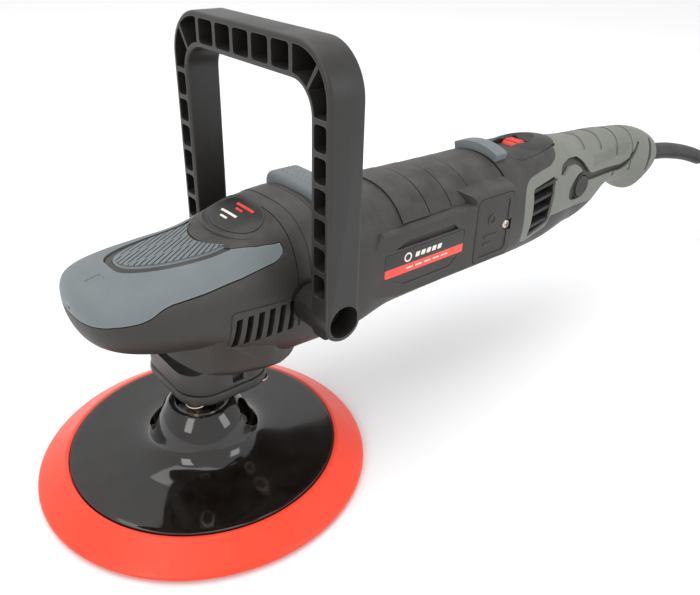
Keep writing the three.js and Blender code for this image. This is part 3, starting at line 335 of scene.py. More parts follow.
def side_stripe(tree, where, colour, height):
    """The label's red lower stripe under its black field."""
    _, _, z = axes(tree, where)
    low = tree.nodes.new("ShaderNodeMath")
    low.operation = "LESS_THAN"
    low.inputs[1].default_value = 104.7 * MM
    tree.links.new(z, low.inputs[0])
    return mixed(tree, low.outputs[0], colour, linear((240, 76, 62))), height


def stacked_sheets(tree, where, colour, height):
    """Laminations across the motor axis."""
    x, _, _ = axes(tree, where)
    wave = maths(tree, "SINE", maths(tree, "MULTIPLY", x, 6283.0))
    dark = ramp(tree, wave, 0.2, 1.0)
    return mixed(tree, maths(tree, "MULTIPLY", dark, 0.5), colour, (0.05, 0.05, 0.05)), height


def hooks(tree, where, colour, height):
    """The fuzz of tiny hooks on the pad's underside."""
    return colour, maths(tree, "MULTIPLY", height, 3.0)


FINISH = {
    "shell": surface("charcoal shell", (43, 41, 37), 0.5, 1500.0, 0.00006, speckle=0.22,
                     cloud=0.1, dust=0.1),
    # Dark shell: the darker plastic of covers and surrounds, and also painted shade in the
    # recessed channel round the head's insert.
    "shell_dark": surface("dark shell and channel shade", (35, 34, 33), 0.5, 1700.0, 0.00005, dust=0.08),
    "neck": surface("painted cast neck", (50, 51, 49), 0.42, 900.0, 0.00003, speckle=0.12,
                    dust=0.05),
    "soft_grip": surface("blue grey soft grip", (106, 114, 117), 0.58, 2200.0, 0.00002,
                         edge=0.3, worn=(150, 155, 155), dust=0.1, cloud=0.1),
    "tail_grip": surface("warm grey soft grip", (114, 116, 109), 0.62, 2000.0, 0.00003,
                         edge=0.35, worn=(160, 160, 150), dust=0.1, cloud=0.16),
    "nylon": surface("black nylon", (33, 31, 29), 0.44, 1300.0, 0.00003, edge=0.5,
                     worn=(92, 94, 94), dust=0.06, pattern=parting_line),
    "cover": surface("moulded cover", (45, 43, 41), 0.55, 1500.0, 0.00005, dust=0.08),
    "gloss": surface("gloss black moulding", (17, 12, 9), 0.1, 300.0, 0.00001, edge=0.25,
                     worn=(120, 104, 90), dust=0.02, cloud=0.3, speckle=0.0,
                     Coat_Weight=0.3, Coat_Roughness=0.03),
    "badge": surface("satin badge", (30, 29, 28), 0.36, 2000.0, 0.00002, dust=0.03),
    "foam": surface("vermilion foam", (252, 55, 8), 0.42, 700.0, 0.00005, edge=0.3,
                    worn=(255, 120, 88), dust=0.03, cloud=0.1, speckle=0.05,
                    pattern=turning_streaks, Sheen_Weight=0.15),
    "hook": surface("hook face", (30, 27, 26), 0.9, 1600.0, 0.0003, pattern=hooks, dust=0.0),
    "red": surface("red switch plastic", (226, 62, 44), 0.36, 1800.0, 0.00002, edge=0.4,
                   worn=(250, 120, 100), dust=0.03, cloud=0.1),
    "mark_red": surface("red print", (222, 48, 40), 0.45, 2600.0, 0.00001, edge=0.0, dust=0.0),
    "mark_pale": surface("pale print", (226, 225, 214), 0.5, 2600.0, 0.00001, edge=0.0,
                         dust=0.0),
    "label": surface("side label", (34, 34, 33), 0.4, 2600.0, 0.00001, edge=0.1, dust=0.05,
                     pattern=side_stripe),
    "steel": surface("nickel steel", (205, 190, 178), 0.24, 1200.0, 0.00001, edge=0.3,
                     dust=0.02, cloud=0.3, Metallic=1.0),
    "laminations": surface("laminated steel", (160, 160, 158), 0.4, 1200.0, 0.00002,
                           pattern=stacked_sheets, Metallic=1.0),
    "copper": surface("copper", (184, 115, 51), 0.35, 900.0, 0.00002, cloud=0.4, Metallic=1.0),
    "brass": surface("brass", (190, 165, 90), 0.35, 900.0, 0.00002, cloud=0.3, Metallic=1.0),
    "bolt": surface("blackened steel", (46, 46, 47), 0.38, 1200.0, 0.00002, edge=0.6,
                    worn=(120, 120, 120), dust=0.03, Metallic=0.6),
    "carbon": surface("carbon", (34, 34, 34), 0.8, 1200.0, 0.00006),
    "board": surface("circuit board", (40, 92, 50), 0.5, 600.0, 0.00005, cloud=0.5),
    "rubber": surface("black rubber", (26, 26, 26), 0.55, 1500.0, 0.00003, edge=0.3,
                      worn=(70, 70, 70), dust=0.08),
    # Painted shade: a near-black colour on the insides of vents, grooves, bores, holes and slots,
    # where only shade falls.
    "cavity": surface("inside shadow", (6, 6, 6), 0.8, 900.0, 0.00005, edge=0.0, dust=0.0),
}


# ------------------------------------------------------------------ modelling helpers

def block(x0, x1, y0, y1, z0, z1):
    bm = bmesh.new()
    bmesh.ops.create_cube(bm, size=1)
    bmesh.ops.scale(bm, vec=(x1 - x0, y1 - y0, z1 - z0), verts=bm.verts)
    bmesh.ops.translate(bm, vec=((x0 + x1) / 2, (y0 + y1) / 2, (z0 + z1) / 2), verts=bm.verts)
    return bm


def round_edges(bm, edges, width, segments=3):
    if width > 0 and edges:
        bmesh.ops.bevel(bm, geom=edges, offset=width, offset_type="OFFSET", segments=segments,
                        profile=0.5, affect="EDGES", material=-1, clamp_overlap=True)


def slab(points, low, high, along="z", corner=0.0, rim=0.0, corners=None, steps=5):
    """A flat outline carried from low to high. Its corners and then its rims are rounded."""
    lay = {"z": lambda a, b: (a, b, low), "y": lambda a, b: (a, low, b),
           "x": lambda a, b: (low, a, b)}[along]
    lift = Vector({"z": (0, 0, 1), "y": (0, 1, 0), "x": (1, 0, 0)}[along])
    bm = bmesh.new()
    verts = [bm.verts.new(lay(a, b)) for a, b in points]
    bm.faces.new(verts)
    for radius, which in (corners or [(corner, range(len(points)))]):
        if radius > 0:
            bmesh.ops.bevel(bm, geom=[verts[i] for i in which], offset=radius,
                            offset_type="OFFSET", segments=steps, profile=0.5,
                            affect="VERTICES", material=-1, clamp_overlap=True)
    made = bmesh.ops.extrude_face_region(bm, geom=list(bm.faces))["geom"]
    bmesh.ops.translate(bm, vec=lift * (high - low),
                        verts=[g for g in made if isinstance(g, bmesh.types.BMVert)])
    bmesh.ops.recalc_face_normals(bm, faces=bm.faces)
    if rim > 0:
        caps = [f for f in bm.faces if abs(f.normal.dot(lift)) > 0.99]
        round_edges(bm, list({e for f in caps for e in f.edges}), rim)
    return bm


def rect(a0, a1, b0, b1):
    return [(a0, b0), (a1, b0), (a1, b1), (a0, b1)]


def both_sides(points, low, high, **options):
    """The same side outline on the right (-Y) and the left (+Y)."""
    bm = slab(points, -high, -low, "y", **options)
    return merged(bm, slab(points, low, high, "y", **options))


def merged(first, *others):
    for other in others:
        mesh = bpy.data.meshes.new("part")
        other.to_mesh(mesh)
        other.free()
        first.from_mesh(mesh)
        bpy.data.meshes.remove(mesh)
    return first


def spun(profile, steps=96):
    """A body turned about the Z axis from (radius, height) points."""
    bm = bmesh.new()
    verts = [bm.verts.new((r, 0, z)) for r, z in profile]
    edges = [bm.edges.new(pair) for pair in zip(verts, verts[1:])]
    bmesh.ops.spin(bm, geom=verts + edges, cent=(0, 0, 0), axis=(0, 0, 1),
                   angle=2 * math.pi, steps=steps, use_merge=True)
    bmesh.ops.remove_doubles(bm, verts=bm.verts, dist=0.001)
    bmesh.ops.recalc_face_normals(bm, faces=bm.faces)
    return bm


def turn_to(bm, axis, place=(0, 0, 0)):
    """Lays a body that was turned about Z along another axis through a point."""
    turn = Vector((0, 0, 1)).rotation_difference(Vector(axis)).to_matrix()
    bmesh.ops.rotate(bm, cent=(0, 0, 0), matrix=turn, verts=bm.verts)
    bmesh.ops.translate(bm, vec=place, verts=bm.verts)
    return bm


def pin(radius, low, high, axis, place, rim=0.3, steps=40):
    rim = min(rim, radius / 2)
    profile = [(0, low), (radius - rim, low), (radius - rim * 0.3, low + rim * 0.3),
               (radius, low + rim), (radius, high - rim), (radius - rim * 0.3, high - rim * 0.3),
               (radius - rim, high), (0, high)]
    return turn_to(spun(profile, steps), axis, place)


def pipe(inner, outer, low, high, axis, place, rim=0.3, steps=48):
    profile = [(inner, low + rim), (inner + rim, low), (outer - rim, low), (outer, low + rim),
               (outer, high - rim), (outer - rim, high), (inner + rim, high),
               (inner, high - rim), (inner, low + rim)]
    return turn_to(spun(profile, steps), axis, place)


def ball(radii, place, segments=32):
    bm = bmesh.new()
    bmesh.ops.create_uvsphere(bm, u_segments=segments, v_segments=segments // 2, radius=1)
    bmesh.ops.scale(bm, vec=radii, verts=bm.verts)
    bmesh.ops.translate(bm, vec=place, verts=bm.verts)
    return bm


def smooth_rows(rows, steps):
    """Rows of numbers joined by a smooth curve, with steps between neighbours."""
    out = []
    for i in range(len(rows) - 1):
        four = (rows[max(i - 1, 0)], rows[i], rows[i + 1], rows[min(i + 2, len(rows) - 1)])
        for k in range(steps):
            t = k / steps
            out.append([0.5 * (2 * b + (c - a) * t + (2 * a - 5 * b + 4 * c - d) * t * t
                               + (3 * b - a - 3 * c + d) * t ** 3)
                        for a, b, c, d in zip(*four)])
    out.append(list(rows[-1]))
    return out


def casing(rows, inset=0.0, sides=72):
    """A lofted casing along X. A row is x, half width, widest height, top, bottom, squareness."""
    bm = bmesh.new()
    before = None
    for k, (x, w, c, top, bottom, n) in enumerate(rows):
        ends = k in (0, len(rows) - 1)
        ring = bmesh.ops.create_circle(bm, cap_ends=ends, segments=sides, radius=1)["verts"]
        for v in ring:
            across, rise = v.co.x, v.co.y
            across = math.copysign(abs(across) ** (2 / n), across) * max(w - inset, 0.3)
            reach = (top - c if rise > 0 else c - bottom) - inset
            rise = math.copysign(abs(rise) ** (2 / n), rise) * max(reach, 0.3)
            v.co = (x, across, c + rise)
        loop = list({e for v in ring for e in v.link_edges})
        if before:
            bmesh.ops.bridge_loops(bm, edges=before + loop)
        before = loop
    bmesh.ops.recalc_face_normals(bm, faces=bm.faces)
    return bm


def height_at(rows, x, y):
    """The casing's top at a point of the plan."""
    for one, two in zip(rows, rows[1:]):
        if one[0] <= x <= two[0]:
            t = (x - one[0]) / (two[0] - one[0])
            _, w, c, top, _, n = [a + (b - a) * t for a, b in zip(one, two)]
            return c + (top - c) * max(0.0, 1 - (abs(y) / w) ** n) ** (1 / n)
    return rows[-1][3]


def combined(base, tool, operation):
    """The base and the tool as one body. Both are used up."""
    solids = []
    for bm in (base, tool):
        mesh = bpy.data.meshes.new("carving")
        bm.to_mesh(mesh)
        bm.free()
        for _ in range(3):
            mesh.materials.append(None)
        solid = bpy.data.objects.new("carving", mesh)
        bpy.context.collection.objects.link(solid)
        solids.append(solid)
    modifier = solids[0].modifiers.new("carving", "BOOLEAN")
    modifier.operation = operation
    modifier.solver = "EXACT"
    modifier.object = solids[1]
    result = bmesh.new()
    result.from_object(solids[0], bpy.context.evaluated_depsgraph_get())
    for solid in solids:
        mesh = solid.data
        bpy.data.objects.remove(solid)
        bpy.data.meshes.remove(mesh)
    return result


def carve(base, *tools):
    for tool in tools:
        base = combined(base, tool, "DIFFERENCE")
    return base


def joined(base, *tools):
    for tool in tools:
        base = combined(base, tool, "UNION")
    return base


def kept(base, tool):
    return combined(base, tool, "INTERSECT")


def painted(bm, index):
    for face in bm.faces:
        face.material_index = index
    return bm


def declared(obj, body, stands_for):
    """Tells the frame which body an object rides on, and what it stands for."""
    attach(obj, body)
    if stands_for:
        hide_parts(*([stands_for] if isinstance(stands_for, str) else stands_for))
    return obj


def piece(name, bm, looks, body="housing", stands_for=(), soften=0.0, segments=2):
    """Finishes a body as an object in metres, smooth shaded, riding on a body of the frame."""
    bmesh.ops.scale(bm, vec=(MM, MM, MM), verts=bm.verts)
    mesh = bpy.data.meshes.new(name)
    bm.to_mesh(mesh)
    bm.free()
    mesh.materials.clear()
    for look in looks.split():
        mesh.materials.append(FINISH[look])
    mesh.shade_smooth()
    mesh.set_sharp_from_angle(angle=CREASE)
    obj = bpy.data.objects.new(name, mesh)
    bpy.context.collection.objects.link(obj)
    if soften > 0:
        bevel = obj.modifiers.new("softened edges", "BEVEL")
        bevel.width = soften * MM
        bevel.segments = segments
        bevel.limit_method = "ANGLE"
        bevel.angle_limit = CREASE
    return declared(obj, body, stands_for)


def line(name, points, radius, look, widths=None, stands_for=(), slot=None):
    """A round rod that follows points, with its ends closed."""
    curve = bpy.data.curves.new(name, "CURVE")
    curve.dimensions = "3D"
    curve.bevel_depth = radius * MM
    curve.bevel_resolution = 5
    curve.use_fill_caps = True
    spline = curve.splines.new("POLY")
    spline.points.add(len(points) - 1)
    for k, (point, p) in enumerate(zip(points, spline.points)):
        p.co = (*(c * MM for c in point), 1)
        p.radius = widths[k] if widths else 1.0
    curve.materials.append(FINISH[look])
    obj = bpy.data.objects.new(name, curve)
    bpy.context.collection.objects.link(obj)
    return declared(obj, "housing", stands_for)


def mirrored(points):
    """A half plan outline from front to back, closed by its mirror image across y = 0."""
    return points + [(x, -y) for x, y in reversed(points)]


def circle_points(cx, cy, rx, ry, count=32, start=0.0, end=360.0):
    """Points round an ellipse. An arc that isn't the full turn includes its end."""
    gaps = count if end - start >= 360 else count - 1
    angles = [math.radians(start + (end - start) * k / gaps) for k in range(count)]
    return [(cx + rx * math.cos(a), cy + ry * math.sin(a)) for a in angles]


# ------------------------------------------------------------------ mains lead

CORD_R = 4.5
COIL_X, COIL_Y, COIL_R = 563.0, -112.0, 52.5
TURN_PITCH = 9.4
OUTER_TURN = COIL_R + 1.5 * TURN_PITCH
LOW_Z, HIGH_Z = 5.8, 15.2
GUARD_ROUTE = [(416, 0, 101), (445, 0, 98.6), (470, 0, 94.8), (505, 0, 86.4), (538, 0, 75.5)]
LEAD_ROUTE = [(538.8, 0, 75.2), (560, -2, 66), (584, -12, 50), (605, -32, 30),
              (618, -58, 14), (626, -85, 6.8), (COIL_X + OUTER_TURN, COIL_Y, LOW_Z)]
END_ROUTE = [(COIL_X, COIL_Y - OUTER_TURN, HIGH_Z),
             (COIL_X - 20, COIL_Y - OUTER_TURN - 2, 14),
             (COIL_X - 45, COIL_Y - OUTER_TURN - 9, 10.2),
             (COIL_X - 66, COIL_Y - OUTER_TURN - 18, 8.6)]
# Travel angles in degrees: at each, the winding starts a 60 degree shift to the next turn.
INWARD_SHIFTS = (290, 650, 1010)
RISE = 1310
OUTWARD_SHIFTS = (1610, 1970, 2330)
LEAVE = 2610
SHIFT = 60.0


def eased(travel, start):
    t = min(1.0, max(0.0, (travel - start) / SHIFT))
    return t * t * (3 - 2 * t)


def coil_points():
    points = []
    for k in range(1, LEAVE // 15):
        travel = 15.0 * k
        inward = sum(eased(travel, s) for s in INWARD_SHIFTS)
        outward = sum(eased(travel, s) for s in OUTWARD_SHIFTS)
        radius = OUTER_TURN - TURN_PITCH * (inward - outward)
        angle = math.radians(-travel)
        points.append((COIL_X + radius * math.cos(angle), COIL_Y + radius * math.sin(angle),
                       LOW_Z + TURN_PITCH * eased(travel, RISE)))
    return points


def make_lead():
    route = smooth_rows(LEAD_ROUTE, 4) + coil_points() + smooth_rows(END_ROUTE, 4)
    lead = line("mains_lead", route, CORD_R, "rubber",
                stands_for=("cord_lead", "cord_coil", "cord_end"), slot="rubber")
    guard = make_guard()
    tie = make_tie()
    plug = make_plug()
    return guard


def make_guard():
    route = smooth_rows(GUARD_ROUTE, 8)
    widths = []
    for k in range(len(route)):
        share = k / (len(route) - 1)
        widths.append(1.0 - 0.11 * share)
    widths[-1] *= 0.9
    return line("cord_guard_sleeve", route, 7.4, "rubber", widths=widths,
                stands_for="cord_guard", slot="rubber")


def make_tie():
    half = 1.5 * TURN_PITCH + CORD_R
    inner = [(COIL_R - half - 0.3, 1.0), (COIL_R + half + 0.3, 1.0),
             (COIL_R + half + 0.3, 20.0), (COIL_R - half - 0.3, 20.0)]
    outer = [(COIL_R - half - 1.2, 0.1), (COIL_R + half + 1.2, 0.1),
             (COIL_R + half + 1.2, 20.9), (COIL_R - half - 1.2, 20.9)]
    loop = carve(slab(outer, -7, 7, "x", corner=4.5, rim=0.2),
                 slab(inner, -9, 9, "x", corner=3.8))
    buckle = slab([(COIL_R - 6, 19), (COIL_R + 6, 19), (COIL_R + 6, 22), (COIL_R - 6, 22)],
                  -5, 5, "x", corner=0.8, rim=0.5)
    tie = joined(loop, buckle)
    bmesh.ops.translate(tie, vec=(COIL_X, COIL_Y, 0), verts=tie.verts)
    return piece("lead_tie", tie, "rubber", stands_for="cord_tie")


def make_plug():
    body = slab([(-23, -18), (23, -12), (23, 12), (-23, 18)], 0, 17, corner=7, rim=3.2)
    for s in (-1, 1):
        ribs = [slab([(-12 + 6 * k, s * 17.5), (-9 + 6 * k, s * 17.5), (-9 + 6 * k, s * 12),
                      (-12 + 6 * k, s * 12)], 3, 14) for k in range(4)]
        body = carve(body, merged(*ribs))
    sleeve = pin(6.2, 0, 9, (1, 0, 0), (20, 0, 8.5), 1.5)
    body = joined(body, sleeve)
    painted(body, 0)
    pins = [painted(pin(2.4, 0, 19, (-1, 0, 0), (-23, s * 9.5, 8.5), 1.0), 1) for s in (-1, 1)]
    plug = merged(body, *pins)
    bmesh.ops.translate(plug, vec=(-23.5, 0, 0), verts=plug.verts)
    one, two = Vector(END_ROUTE[-2]), Vector(END_ROUTE[-1])
    turn = math.atan2(two.y - one.y, two.x - one.x) + math.pi
    bmesh.ops.rotate(plug, cent=(0, 0, 0), matrix=Matrix.Rotation(turn, 3, "Z"),
                     verts=plug.verts)
    bmesh.ops.translate(plug, vec=(two.x, two.y, 0.1), verts=plug.verts)
    return piece("lead_plug", plug, "rubber steel", stands_for="plug")


# ------------------------------------------------------------------ pad and spindle

EAR_X, EAR_Y = 16.8, -13.4


def make_pad():
    foam = spun([(0, 1.8), (88.8, 1.8), (90.0, 2.1), (90.6, 2.9), (90.5, 3.8), (89.9, 4.6),
                 (88.6, 5.5), (84, 8.3), (79.5, 11.2), (76.4, 13.1), (75.7, 13.6), (75, 13.9),
                 (74.2, 13.9), (73.6, 13.6), (73.3, 13), (73.3, 11.7), (0, 11.7)], 160)
    pad = piece("polishing_pad", foam, "foam", "spindle", "foam_pad")
    piece("hook_face", spun([(0, 0), (87.2, 0), (88, 0.5), (88, 1.2), (87.6, 1.5), (0, 1.5)],
                            128), "hook", "spindle", "hook_disc")
    dish = spun([(0, 12), (72.6, 12), (73, 12.3), (73, 13.9), (72.7, 14.4), (72, 14.6),
                 (70, 14.5), (46, 14.8), (40, 15.2), (35.5, 16.1), (32, 17.4), (29.8, 19.2),
                 (28.2, 21.6), (27, 24.4), (26, 27.4), (24.9, 30.6), (23.4, 33.8), (21.6, 36.8),
                 (19.6, 39), (18.6, 40.4), (17.8, 41), (15.2, 41), (14.4, 40.6), (13.6, 39),
                 (12, 35), (7.3, 35), (7.3, 16), (0, 16)], 128)
    for side in (1, -1):
        x, y = side * EAR_X, side * EAR_Y
        ear = ball((8.8, 8.8, 12), (x, y, 24.5))
        dish = carve(joined(dish, ear), ball((7.8, 7.8, 11), (x * 1.1, y * 1.1, 29.5)))
    dish = carve(dish, pin(12.2, 34.9, 60, UP, (0, 0, 0), 0.1))
    piece("backing_dish", dish, "gloss", "spindle", "backing_disc", soften=0.35)


def cross_screw(place, axis, radius, height):
    """A domed screw head with a cross recess."""
    head = spun([(0, 0), (radius, 0), (radius, height * 0.35), (radius * 0.92, height * 0.62),
                 (radius * 0.7, height * 0.88), (radius * 0.35, height), (0, height)], 40)
    arm = radius * 0.62
    slot = radius * 0.16
    head = carve(head, joined(block(-arm, arm, -slot, slot, height * 0.45, height * 2),
                              block(-slot, slot, -arm, arm, height * 0.45, height * 2)))
    return turn_to(head, axis, place)


def neck_plan(grow):
    """The neck's square outline, which sits a little towards the motor from the spindle."""
    front, rear, side = -19.8 - grow, 30.6 + grow, 28.5 + grow
    return rect(front, rear, -side, side)


def make_neck():
    neck = slab(neck_plan(0), 62.6, 100, corner=16, rim=0.5, steps=10)
    neck = carve(neck, merged(block(4, 10.5, -40, -25.6, 65, 110),
                              block(4, 10.5, 25.6, 40, 65, 110)))
    scoop = slab([(-60, 75.5), (-19, 74.3), (-13, 75), (-8, 78.4), (-5.5, 84), (-4.5, 112),
                  (-60, 112)], -FAR, FAR, "y", corners=[(3, (2, 3, 4))])
    core = slab(neck_plan(-6), 40, 120, corner=11, steps=10)
    neck = carve(neck, carve(scoop, core))
    neck = carve(neck, pin(24, 89, 120, (0, 0, 1), (0.02, 0.013, 0), 0.1))
    piece("gear_neck", neck, "neck", stands_for="gear_case", soften=0.5)
    plate = slab(neck_plan(0.4), 56.4, 62, corner=16, rim=1.3, steps=10)
    plate = carve(plate, pin(11, 40, 80, UP, (0, 0, 0), 0.1))
    plate = joined(plate, pipe(11.2, 15, 53.5, 57.4, UP, (0, 0, 0), 0.6))
    piece("bearing_cover", plate, "shell_dark", stands_for="bearing_plate",
          soften=0.3)
    number = 1
    for x in (-13.4, 24.2):
        for y in (-20.5, 20.5):
            screw = joined(cross_screw((x, y, 56.3), (0, 0, -1), 4.2, 3),
                           pin(5.2, 55.6, 56.6, (0, 0, 1), (x, y, 0), 0.3))
            piece(f"plate_screw_head_{number}", screw, "steel",
                  stands_for=f"plate_screw_{number}")
            number += 1


# ------------------------------------------------------------------ head

HEAD = smooth_rows([
    (-60.6, 4, 119.4, 122.4, 116, 2.1), (-60, 11, 119.2, 126.2, 110.5, 2.2),
    (-57.5, 19.5, 118, 129.7, 104, 2.3), (-52.5, 27, 116.5, 132, 99.5, 2.4),
    (-44, 32, 115, 133.5, 95.6, 2.5), (-31, 35.5, 113, 134.5, 91.8, 2.6),
    (-15, 37.5, 111, 135, 88, 2.7), (6, 38, 109, 136.5, 76, 2.8),
    (22, 38.4, 107, 141, 68, 2.9), (36, 38.8, 105, 146, 66, 2.9),
    (47, 38.9, 105, 147.6, 65.5, 2.9), (58, 39, 105, 148.5, 65, 2.9)], 5)
GRIP_LINE = [(-90, 110), (-62, 116.5), (-52, 118.8), (-38, 119.8), (-30, 124.2), (-10, 125),
             (9, 126.6), (29, 130), (34, 133.5), (33, 137.5), (29, 160), (29, 200), (-90, 200)]
INSERT = [(11 - 48 * math.sin(math.radians(4.5 * k)),
           17.5 * abs(math.cos(math.radians(4.5 * k))) ** 0.8) for k in range(20)] + [(-37, 0)]


def half_plan(points, grow):
    """A front-pointing half outline grown sideways and forwards."""
    return [(x - grow * max(0.0, -x) / 37, y + grow * (1 if y > 0 else 0)) for x, y in points]


def insert_plan(grow, dip=8.5):
    near = half_plan(INSERT, grow)
    rear, wide = near[0][0] + grow * 0.4, near[0][1]
    plan = [(rear, wide)] + near[1:]
    plan = plan + [(x, -y) for x, y in reversed(plan[:-1])]
    return plan + [(rear - dip * (1 - (k / 6) ** 2), wide * k / 6) for k in range(-5, 6)]


def channel_plan(grow):
    near = half_plan(INSERT, 3.2 + grow)[1:]
    plan = [(60, 33 + grow), (40, 31.5 + grow), (31, 30 + grow), (22, 26.8 + grow),
            (12, 21 + grow)] + near
    return plan + [(x, -y) for x, y in reversed(plan[:-1])]


def grip_region(grow):
    low = [(x, z - grow * 1.3) for x, z in GRIP_LINE[:8]]
    rest = [(x + grow, z) for x, z in GRIP_LINE[8:]]
    region = slab(low + rest, -FAR, FAR, "y", corners=[(5, (3, 4)), (3, (7, 8, 9))], steps=6)
    return carve(region, slab(channel_plan(-grow), 90, 220))


def make_head():
    skin = casing(HEAD)
    frame_plan = [(-1.5, 89.8), (0.8, 111.6), (37, 108.5), (37, 88)]
    raised = kept(casing(HEAD, -0.55), both_sides(frame_plan, 25, 60, corner=2))
    skin = joined(skin, raised)
    skirt = slab([(-24, 110), (-25, 88.5), (-15, 81.5), (-8, 77.5), (1.4, 73.7), (20, 69.8),
                  (38, 68.6), (56, 71), (56, 110)], -35.5, 35.5, "y", rim=4)
    skirt_plan = [(-24, -36), (24, -36), (54, -22), (54, 22), (24, 36), (-24, 36)]
    skirt = kept(skirt, slab(skirt_plan, 60, 104, corners=[(21, (0, 5)), (16, (2, 3))],
                             steps=12))
    skin = joined(skin, skirt)
    # The channel's floor and walls take the third finish, a darker tone that is painted shade in
    # the recess.
    channel = carve(slab(insert_plan(2.9), 120, 160), casing(HEAD, 0.8))
    skin = carve(skin, carve(grip_region(0.5), casing(HEAD, 2.5)), painted(channel, 2),
                 carve(slab(insert_plan(0.3), 120, 160), casing(HEAD, 2.6)),
                 carve(block(38.2, 39.2, -FAR, FAR, 92, 200), casing(HEAD, 0.9)),
                 carve(block(39.2, 47, -FAR, FAR, 106, 200), casing(HEAD, 0.35)))
    vents = []
    for k in range(6):
        x = 3.2 + 6.2 * k
        lean = 1.3
        slot = [(x - 1.7 - lean, 91.8), (x + 1.7 - lean, 91.8), (x + 1.7 + lean, 107.6),
                (x - 1.7 + lean, 107.6)]
        vents.append(both_sides(slot, 30, 60, corner=0.5, steps=2))
    relief = [pin(12.3, 38.2, 60, (0, s, 0), (HANDLE_X, 0, MOTOR_Z), 0.2) for s in (-1, 1)]
    # The vent slots' walls take the second finish, near-black painted shade.
    skin = carve(skin, painted(merged(*vents), 1),
                 slab(neck_plan(0.4), 50, 90, corner=16.4, steps=10), merged(*relief))
    piece("head_casing", skin, "shell cavity shell_dark", stands_for="head_shell",
          soften=0.35)

    grip = carve(kept(casing(HEAD), grip_region(0)), casing(HEAD, 2.2))
    mark = kept(slab(rect(-53, -45.5, -9, -3.5), 120, 160),
                carve(casing(HEAD, -1), casing(HEAD, 0.35)))
    grip = carve(grip, mark)
    piece("palm_grip_pad", grip, "soft_grip", stands_for="palm_grip", soften=0.7,
          segments=3)
    make_insert()
    make_badge()


BAR_PITCH, BAR_SLOPE = 4.4, 0.62


def make_insert():
    plate = carve(kept(casing(HEAD, 0.35), slab(insert_plan(0), 120, 160)), casing(HEAD, 2.2))
    bars = []
    for row in (-1, 0, 1):
        for k in range(-8, 17):
            low, high = ((-4.5, 4.5), (5.8, 19), (-19, -5.8))[row]
            x = 12 - BAR_PITCH * (k - row / 2)
            bars.append(slab([(x + y / BAR_SLOPE + half, y)
                              for y, half in ((low, -1.5), (low, 1.5), (high, 1.5), (high, -1.5))],
                             120, 150))
    for y in (-5.15, 5.15):
        bars.append(block(-45, 15, y - 0.55, y + 0.55, 120, 150))
    bars = kept(merged(*bars), slab(insert_plan(-1.1), 118, 155))
    bars = kept(bars, carve(casing(HEAD, -0.55), casing(HEAD, 1.2)))
    piece("grip_insert_plate", merged(plate, bars), "soft_grip", stands_for="grip_insert",
          soften=0.25)


def make_badge():
    oval = circle_points(27.5, 0, 11, 19, 64)
    badge = kept(casing(HEAD, -0.5), slab(oval, 134, 160))
    piece("palm_badge", badge, "badge", stands_for="badge", soften=0.35)
    surface_z = lambda x, y: height_at(HEAD, x, y) + 0.5
    rim = [(x, y, surface_z(x, y) - 0.35) for x, y in circle_points(27.5, 0, 11.2, 19.2, 72)]
    line("badge_rim", rim + rim[:1], 0.45, "shell")
    brow = [(x, y, surface_z(x, y) - 1.0) for x, y in circle_points(28, 0, 14.6, 23, 48, 96, 264)]
    swell = [0.15 + math.sin(math.pi * k / (len(brow) - 1)) for k in range(len(brow))]
    line("badge_brow", brow, 1.6, "shell", widths=swell)
    marks = {"mark_red": [((33, 6), (33, -9), 1.1), ((30.2, 3), (30.2, -3), 0.9)],
             "mark_pale": [((26, 10), (26, -4), 1.0), ((22.8, 6), (22.8, 0), 0.9)]}
    for look, strokes in marks.items():
        for k, (start, end, gauge) in enumerate(strokes):
            points = []
            for t in range(9):
                x = start[0] + (end[0] - start[0]) * t / 8
                y = start[1] + (end[1] - start[1]) * t / 8
                points.append((x, y, surface_z(x, y) + 0.1 - gauge * 0.8))
            line(f"badge_{look}_{k}", points, gauge, look)


# ------------------------------------------------------------------ motor housing

BARREL = smooth_rows([
    (58.3, 39, 105, 148.5, 65, 2.9), (70, 39.2, 105, 147.6, 64.6, 2.9),
    (84, 39.2, 105, 146, 64.5, 2.85), (92, 38.8, 105, 144.3, 65, 2.7),
    (100, 38.4, 105, 143.4, 65.8, 2.5), (112, 38.3, 105, 143.2, 66.8, 2.3),
    (135, 38.3, 105, 143.2, 66.8, 2.2), (160, 38.3, 105, 143.2, 66.8, 2.15),
    (182, 38.3, 105, 143.2, 66.8, 2.15), (204.5, 38.3, 105, 143.2, 66.8, 2.15)], 4)
PANEL = [(84, 91), (83.8, 116), (95, 126.8), (204.5, 126.8), (204.5, 84.5), (108, 84.5),
         (92, 88)]
COVER = rect(170, 204, 86, 129)


def barrel_skin(grow=0.0):
    skin = casing(BARREL, -grow)
    side = both_sides(PANEL, 20, 38.6 + grow, rim=2.2)
    return joined(skin, side)


